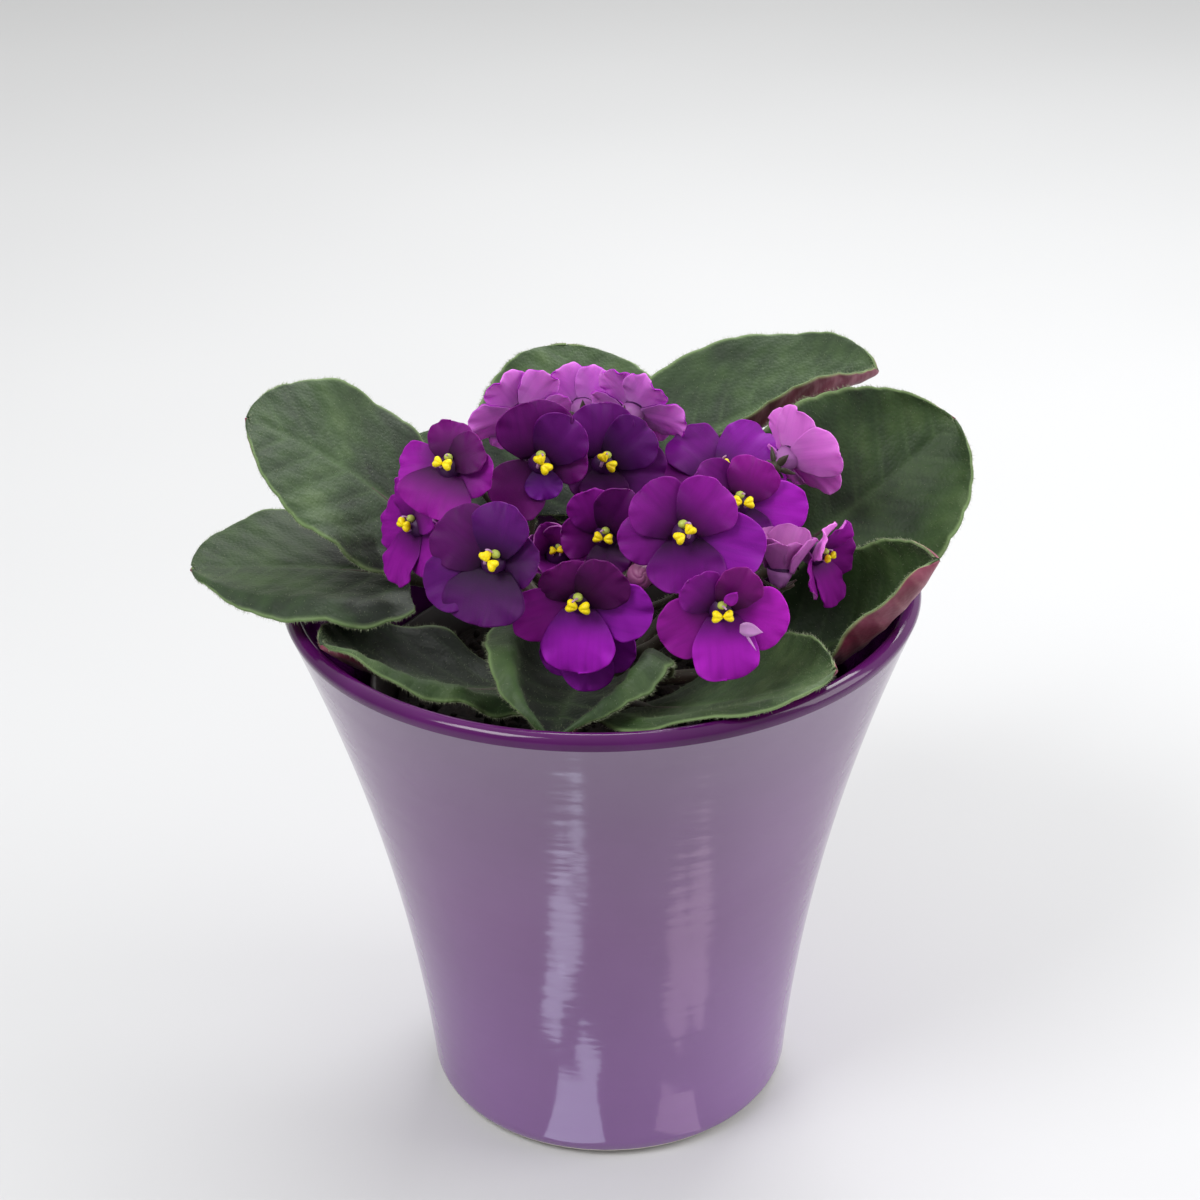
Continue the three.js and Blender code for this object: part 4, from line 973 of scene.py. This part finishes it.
# One petal, darkest where it leaves the throat.
def addPetal(skin, spot, bloom, number, rng):
    angle, length, width, layer = petals[number]
    size = bloom["size"]
    length, width = length * size, width * size * bloomMake["wider"]
    # tone is painted light and shade: lower for petals and blooms turned from the lamps or under others,
    # higher for the backs of the far blooms
    tone, hue = bloom.get("tone", 1), bloom.get("hue", 0)
    if "petals" in bloom:
        angle, length, width, tone, hue = bloom["petals"][number]
    angle = math.radians(angle + rng.uniform(-2, 2))
    t = np.sin(np.linspace(0, math.pi / 2, bloomMake["rows"]))[:, None]
    evenly = np.linspace(-1, 1, bloomMake["columns"])[None]
    s = 0.45 * evenly + 0.55 * np.sin(evenly * math.pi / 2)
    middle, normals, out = petalMiddle(spot, bloom, (angle, length, width, layer), t, s, rng)
    away = np.maximum(np.abs(s) ** 2, t ** 4)
    thick = blend(bloomMake["thickness"], bloomMake["edgeThickness"], away)
    upper, lower = middle + normals * thick[..., None] / 2, middle - normals * thick[..., None] / 2
    ones = np.ones_like(out)
    depth = np.clip((t * length + petalRoot(bloom) - 2) / (12 * size), 0, 1) * ones
    marks = np.stack([depth, (0.5 + hue / 360) * ones, tone * rng.uniform(0.95, 1.05) * ones], -1)
    lies = np.stack([out, t * length * ones, rng.uniform(-500, 500) * ones], -1)
    front = 1 if number in bloom.get("pale", ()) else 0
    addSheet(skin, upper, lower, (front, 1, 1 if "edged" in bloom else front), marks, lies)


# A pointed leaf-like sheet, such as a sepal or a bract, curving from a place along a direction.
def addPoint(skin, root, along, top, length, width, curl, look, marks=(0, 0.5, 1)):
    t = np.linspace(0, 1, 9)[:, None]
    s = np.linspace(-1, 1, 5)[None]
    turn = math.radians(curl) * t
    steps = np.cos(turn) * along + np.sin(turn) * top
    place = root + np.vstack([np.zeros(3), np.cumsum(steps[:-1], axis=0)]) * length / 8
    half = width / 2 * np.sin(math.pi * (0.12 + 0.88 * t) ** 0.8) + 0.03
    side = np.cross(top, along)
    facing = np.cos(turn) * top - np.sin(turn) * along
    middle = (place[:, None] + side * (half * s)[..., None]
              + facing[:, None] * (0.35 * half * s ** 2)[..., None])
    normals = np.broadcast_to(facing[:, None], middle.shape)
    thick = blend(0.3, 0.12, np.abs(s))[..., None]
    own = np.broadcast_to(np.array(marks, float), middle.shape)
    addSheet(skin, middle + normals * thick, middle - normals * thick, (look, look, look), own, own * 0)


def buildBloom(name, bloom, rng):
    spot = bloomFrame(bloom)
    skin = Skin()
    for number in range(len(petals)):
        addPetal(skin, spot, bloom, number, rng)
    # the throat: a short pale tube behind the petals and a low dark dome before them
    for part, look in (("tube", 3), ("dome", 2)):
        line = np.array([[0, 0, z] for z, radius in bloomMake[part]])
        radii = [radius for z, radius in bloomMake[part]]
        addTube(skin, inFrame(spot, line), radii, bloomMake["throatSides"], look)
    for root, turn, long, wide, curl, look in bloom.get("curls", ()):
        onward = spot["right"] * math.cos(math.radians(turn)) + spot["up"] * math.sin(math.radians(turn))
        place = inFrame(spot, np.array(root))
        addPoint(skin, place, onward, spot["looks"], long, wide, curl, look, (1, 0.5, 1.1))
    looks = [petalFace, petalBack, throatMaterial, tubeMaterial, curlMaterial]
    makePiece("bloomPetals_" + name, skin, looks, "petals", "bloom_" + name)


# Two yellow pollen sacs like the halves of a bow tie, notched at the outer end and grooved, on short
# filaments, with the green ovary above them and the thread of the style.
def buildAnthers(name, bloom, rng):
    spot = bloomFrame(bloom)
    size = bloom["size"]
    radius = antherMake["radius"] * size
    forward = bloomMake["throatTop"] + antherMake["gap"] + radius
    skin = Skin()

    def dent(body):
        notch = antherMake["notch"] * np.exp(-(body[:, 1] / 0.3) ** 2) * smoothStep(body[:, 0], 0.1, 0.95)
        groove = antherMake["groove"] * np.exp(-(body[:, 1] / 0.22) ** 2) * smoothStep(body[:, 2], -0.2, 0.5)
        flare = 1 + antherMake["flare"] * body[:, 0]
        return body * np.stack([1 - notch, flare, (1 - groove) * flare ** 0.5], -1)

    for sign in (-1, 1):
        tilt = math.radians(bloom.get("tilt", 0) + sign * rng.uniform(4, 26))
        outward = sign * (spot["right"] * math.cos(tilt) + spot["up"] * math.sin(tilt))
        axes = np.array([outward, np.cross(spot["looks"], outward), spot["looks"]])
        tip = inFrame(spot, np.array([0, rng.uniform(-0.2, 0.2), forward + rng.uniform(-0.4, 0.1)]))
        middle = tip + outward * antherMake["apart"] * radius * rng.uniform(0.92, 1.12)
        radii = np.array([antherMake["long"], antherMake["wide"], antherMake["deep"]]) * radius
        addBlob(skin, middle, axes, radii * rng.uniform(0.92, 1.06), 0, 24, 15, dent)
        foot = inFrame(spot, np.array([[sign * 0.7, -0.4, 2.4], [sign * 0.9, -0.8, 3.6]]))
        line = np.vstack([foot, middle - spot["looks"] * 0.5])
        addTube(skin, line, antherMake["filament"] * size, 8, 2)
    green = inFrame(spot, np.array([rng.uniform(-0.4, 0.4), 2.2 * size, 3.5]))
    axes = np.array([spot["right"], spot["up"], spot["looks"]])
    addBlob(skin, green, axes, np.array(antherMake["ovary"]) * size, 1)
    bend = rng.uniform(-1, 1)
    line = [[0, 2.1, 4.2], [0.3 * bend, 2.5, 5.2], [0.8 * bend, 2.6, 6.2], [1.3 * bend, 2.4, 7.0]]
    addTube(skin, inFrame(spot, np.array(line) * size), antherMake["style"] * size, 7, 2)
    makePiece("pollenSacs_" + name, skin, [pollen, ovaryMaterial, styleMaterial], "anthers",
              "anthers_" + name)


def buildBlooms():
    for number, (name, bloom) in enumerate(blooms.items()):
        rng = np.random.default_rng(300 + number)
        buildBloom(name, bloom, rng)
        buildAnthers(name, bloom, rng)


buildBlooms()

# Sprays. foot is the heading of the place on the crown where a stalk starts, fork the place where it
# parts, and carries the blooms with how far the start of each one's branch is lifted.
print("sprays")
sprays = {
    "spray_left": dict(foot=-85, fork=(-18, -5, 150), buds=[],
                       carries={"left": 2, "far_left": 0, "low_left": 0, "top_left": 2}),
    "spray_front": dict(foot=0, fork=(0, -26, 143),
                        buds=[dict(at=(9, -41, 166), face=(10, 30), radius=3.2)],
                        carries={"front_low": -8, "middle": 2, "young": 1, "under": -1}),
    "spray_right": dict(foot=70, fork=(19.5, -12, 146), buds=[],
                        carries={"front_high": 2, "front_right": -2, "right": 2, "right_young": -5,
                                 "right_side": -6, "right_back": 0}),
    "spray_back": dict(foot=160, fork=(5, 10, 152), buds=[],
                       carries={"top": 2, "back_left": 3, "back": 3, "back_right": 3, "behind": 0}),
}
sprayMake = {
    "stalkRadius": 1.2, "branchRadius": 0.8, "rows": 26, "sides": 10, "knot": 2.0, "inset": 3.6,
    "rootHeight": 127.2, "climbsTo": 137, "bractLength": 5.5, "bractWidth": 2.2, "calyx": (1.7, 1.7, 1.3),
    "sepalLength": 4.6, "sepalWidth": 1.9, "sepalSpread": 20, "sepalCurl": 28, "budSepalWidth": 2.1,
    "budSepalCurl": 45, "furPerStem": 260, "furLength": (0.4, 1.1),
}


def addCalyx(skin, spot, back, rng):
    base = inFrame(spot, np.array([0, 0, back - 0.2]))
    axes = np.array([spot["right"], spot["up"], spot["looks"]])
    addBlob(skin, base, axes, sprayMake["calyx"], 0, 14, 9)
    spread = math.radians(sprayMake["sepalSpread"])
    for number in range(5):
        turn = 2 * math.pi * number / 5 + 0.3
        outward = spot["right"] * math.cos(turn) + spot["up"] * math.sin(turn)
        along = unit(outward * math.cos(spread) + spot["looks"] * math.sin(spread))
        top = unit(spot["looks"] * math.cos(spread) - outward * math.sin(spread))
        addPoint(skin, base + outward * 1.1, along, top, sprayMake["sepalLength"] * rng.uniform(0.8, 1.05),
                 sprayMake["sepalWidth"], sprayMake["sepalCurl"], 0)


def addStem(skin, corners, radii, rng):
    rows = sprayMake["rows"]
    line = bezier(corners, rows)
    radii = np.interp(np.linspace(0, 1, rows), np.linspace(0, 1, len(radii)), radii)
    rings = addTube(skin, line, radii, sprayMake["sides"], 0)
    furTube(skin, rings, line, sprayMake["furPerStem"], sprayMake["furLength"], 1, rng)


def buildSpray(name, spray, rng):
    skin = Skin()
    fork = np.array(spray["fork"], float)
    start = ahead(spray["foot"]) * (leafMake["crownRadius"] - sprayMake["inset"])
    start = start + np.array([0, 0, sprayMake["rootHeight"]])
    risen = np.array([start[0], start[1], sprayMake["climbsTo"]])
    thick, thin = sprayMake["stalkRadius"], sprayMake["branchRadius"]
    addStem(skin, [start, risen, blend(fork, start, 0.35), fork],
            [thick * 1.25, thick, thick * 0.95, thick], rng)
    addBlob(skin, fork, np.eye(3), np.array([0.85, 0.85, 1]) * sprayMake["knot"], 0, 14, 9)
    for sign in (-1, 1):
        outward = ahead(spray["foot"] + 90 * sign)
        along, top = unit(outward + (0, 0, 0.3)), unit((0, 0, 1) - outward * 0.3)
        addPoint(skin, fork + outward, along, top, sprayMake["bractLength"], sprayMake["bractWidth"], 30, 0)
    for flower, lift in spray["carries"].items():
        spot = bloomFrame(blooms[flower])
        back = -(bloomMake["throatDepth"] + 0.3)
        end = spot["at"] + spot["looks"] * (back - 0.35)
        reach = np.linalg.norm(end - fork) * 0.45
        corners = [fork, blend(fork, end, 0.3) + (0, 0, lift), end - spot["looks"] * reach, end]
        addStem(skin, corners, [thin, thin * 0.9, thin, thin * 1.2], rng)
        addCalyx(skin, spot, back, rng)
    for bud in spray["buds"]:
        spot = bloomFrame(bud)
        reach = np.linalg.norm(spot["at"] - fork) * 0.45
        corners = [fork, blend(fork, spot["at"], 0.3), spot["at"] - spot["looks"] * reach, spot["at"]]
        addStem(skin, corners, [thin, thin * 0.9, thin, thin * 1.2], rng)
        addBud(skin, spot, bud["radius"])
    makePiece(name.replace("spray", "sprayFurred"), skin, [stalkSkin, hairMaterial, budMaterial],
              "stalks", name)


# A bud: petals rolled over each other, which shows as a spiral on its face, held by five sepals.
def addBud(skin, spot, radius):
    axes = np.array([spot["right"], spot["up"], spot["looks"]])

    def dent(body):
        around = np.arctan2(body[:, 1], body[:, 0])
        spiral = np.sin(2 * around + 5.0 * np.hypot(body[:, 0], body[:, 1]))
        return body * (1 - 0.09 * (1 - np.abs(spiral)) ** 3 * smoothStep(body[:, 2], -0.3, 0.4))[:, None]

    addBlob(skin, spot["at"], axes, (radius, radius, radius), 2, 48, 40, dent)
    for number in range(5):
        turn = 2 * math.pi * number / 5 + 0.6
        outward = spot["right"] * math.cos(turn) + spot["up"] * math.sin(turn)
        root = spot["at"] - spot["looks"] * radius * 0.85 + outward * radius * 0.55
        along = unit(outward * 0.75 + spot["looks"] * 0.65)
        top = unit(spot["looks"] * 0.75 - outward * 0.65)
        addPoint(skin, root, along, top, radius * 1.35, sprayMake["budSepalWidth"],
                 sprayMake["budSepalCurl"], 0)


def buildSprays():
    for number, (name, spray) in enumerate(sprays.items()):
        buildSpray(name, spray, np.random.default_rng(500 + number))


buildSprays()

# Crown: the short scarred stem, rough where old leaves have come away.
print("crown")
crown = {"foot": 98, "shoulder": 116, "top": 128, "footRadius": 5, "topRadius": 8, "bevel": 2,
         "scars": 0.35, "scarsFrom": 112, "sides": 72}


def buildCrown():
    foot, shoulder, top, thin, wide, bevel = (
        crown[name] for name in ("foot", "shoulder", "top", "footRadius", "topRadius", "bevel"))
    rows = [(0, foot), (thin - 1, foot), (thin, foot + 1)]
    rows += [(blend(thin, wide, share), blend(foot + 1, shoulder, share))
             for share in np.linspace(0.1, 1, 10)]
    rows += [(wide, z) for z in np.linspace(shoulder + 1, top - bevel, 14)]
    rows += [(wide - bevel + bevel * math.cos(turn), top - bevel + bevel * math.sin(turn))
             for turn in np.radians(np.linspace(15, 90, 5))]
    rows += [(reach, top) for reach in (5, 4, 3, 2, 1, 0)]
    skin = Skin()
    addTurned(skin, rows, crown["sides"], 0)
    points = skin.points[0]
    around = np.arctan2(points[:, 1], points[:, 0])
    reach = np.hypot(points[:, 0], points[:, 1])
    scars = crown["scars"] * np.sin(7 * around + 0.9 * points[:, 2]) * np.sin(1.1 * points[:, 2]) - 0.3
    points[:, :2] *= (1 + scars * (points[:, 2] > crown["scarsFrom"]) / np.maximum(reach, 3))[:, None]
    lumps = 0.5 * (1 + np.sin(1.7 * points[:, 0]) * np.cos(1.9 * points[:, 1]))
    points[:, 2] -= lumps * (points[:, 2] > top - 1)
    makePiece("crownStem", skin, [stalkSkin], "stalks", "crown")


buildCrown()

# Floor, light and camera.
print("stage")
stage = {"floorHalf": 3000, "floorDepth": 20}
softBoxes = [  # name, place, what it faces, width and height, watts
    ("softBoxLeft", (-600, -500, 1050), (0, 0, 120), (500, 500), 8),
    ("softBoxRight", (900, -100, 500), (0, 0, 80), (500, 700), 4),
    ("softBoxBack", (250, 700, 900), (0, 0, 150), (700, 500), 7),
]
# Low cards before the pot, which show only as upright streaks in its glaze. Each is given by its ends
# on the floor, its width, its light for each square metre and its colour.
streakCards = [
    (((-21.8, -118), (-22.4, -112.5), 7), 9.0, "dfe6ff"),
    (((-22.4, -112.5), (-23, -107.5), 14), 9.0, "dfe6ff"),
    (((-26.5, -104.5), (-35.7, -89), 20), 9.0, "dfe6ff"),
    (((-35.7, -89), (-35.7, -72), 13), 9.0, "dfe6ff"),
    (((-10.5, -78), (-14, -70), 13), 9.0, "dfe6ff"),
    (((-17, -69), (-11, -48.5), 19), 9.0, "dfe6ff"),
    (((76, -81), (61, -80), 20), 3.5, "f6d8ee"),
    (((61, -80), (46, -75.5), 34), 3.5, "f6d8ee"),
    (((46, -75.5), (35, -73), 16), 3.5, "f6d8ee"),
    (((29.5, -57), (19.5, -46.5), 15), 3.5, "f6d8ee"),
]


def buildFloor():
    half, deep = stage["floorHalf"], stage["floorDepth"]
    outline = ((-half, -half), (half, -half), (half, half), (-half, half))
    corners = [(x, y, z) for z in (-deep, 0) for x, y in outline]
    quads = [[3, 2, 1, 0], [4, 5, 6, 7], [0, 1, 5, 4], [1, 2, 6, 5], [2, 3, 7, 6], [3, 0, 4, 7]]
    skin = Skin()
    skin.add(corners, [quads], 0)
    floor = meshObject("studioFloor", skin, [makeMattPaint()])
    floor.data.shade_flat()


# A flat light of so many millimetres that the camera doesn't see.
def addLamp(name, place, turn, width, height, watts, colour="ffffff"):
    lamp = bpy.data.lights.new(name, "AREA")
    lamp.shape = "RECTANGLE"
    lamp.size, lamp.size_y = width * mm, height * mm
    lamp.energy = watts
    lamp.color = linearColour(colour)[:3]
    box = bpy.data.objects.new(name, lamp)
    bpy.context.scene.collection.objects.link(box)
    box.location = Vector(place) * mm
    box.rotation_euler = turn
    box.visible_camera = False
    return box


def buildLights():
    world = bpy.data.worlds.new("studio")
    bpy.context.scene.world = world
    world.use_nodes = True
    world.node_tree.nodes.clear()
    tree = world.node_tree
    # the studio is brightest overhead and behind the plant, and darkest at the front
    way = addNode(tree, "ShaderNodeTexCoord").outputs["Generated"]
    height = addNode(tree, "ShaderNodeVectorMath", {"operation": "DOT_PRODUCT", 1: (0.3, 0.38, 0.72)},
                     {0: way}).outputs["Value"]
    share = addNode(tree, "ShaderNodeMapRange", {1: -0.5, 2: 0.85, 3: 0.3, 4: 0.95}, {0: height})
    sky = addNode(tree, "ShaderNodeBackground", {"Color": linearColour("f7f6f3")},
                  {"Strength": share.outputs[0]})
    addNode(tree, "ShaderNodeOutputWorld", links={"Surface": sky.outputs[0]})
    for name, place, faces, size, watts in softBoxes:
        turn = (Vector(faces) - Vector(place)).to_track_quat("-Z", "Y").to_euler()
        addLamp(name, place, turn, *size, watts)
    for number, (((x0, y0), (x1, y1), wide), light, colour) in enumerate(streakCards):
        length = math.hypot(x1 - x0, y1 - y0)
        turn = (math.pi, 0, math.atan2(y1 - y0, x1 - x0) - math.pi / 2)
        card = addLamp(f"streakCard{number}", ((x0 + x1) / 2, (y0 + y1) / 2, 1.0), turn, wide, length,
                       light * wide * length * mm ** 2, colour)
        card.visible_diffuse = False


buildFloor()
buildLights()

# The photo's camera: it stands so far from a point on the pot's axis, at so many degrees above it.
view = {"sensor": 36, "lens": 78, "reach": 683, "climb": 32.5, "over": 72.5, "faces": (-0.5, 0, 138.4),
        "tilt": -1.05}


def buildCamera():
    lens = bpy.data.cameras.new("photoCamera")
    lens.sensor_width = view["sensor"]
    lens.lens = view["lens"]
    lens.clip_end = 20
    camera = bpy.data.objects.new("photoCamera", lens)
    bpy.context.scene.collection.objects.link(camera)
    climb, reach, tilt = math.radians(view["climb"]), view["reach"], math.radians(view["tilt"])
    place = Vector((0, -reach * math.cos(climb), view["over"] + reach * math.sin(climb)))
    looks = (Vector(view["faces"]) - place).normalized()
    right = looks.cross(Vector((0, 0, 1))).normalized()
    up = right.cross(looks)
    right, up = right * math.cos(tilt) + up * math.sin(tilt), up * math.cos(tilt) - right * math.sin(tilt)
    camera.matrix_world = Matrix.Translation(place * mm) @ Matrix((right, up, -looks)).transposed().to_4x4()
    bpy.context.scene.camera = camera


buildCamera()
bpy.context.scene.view_settings.view_transform = "Standard"
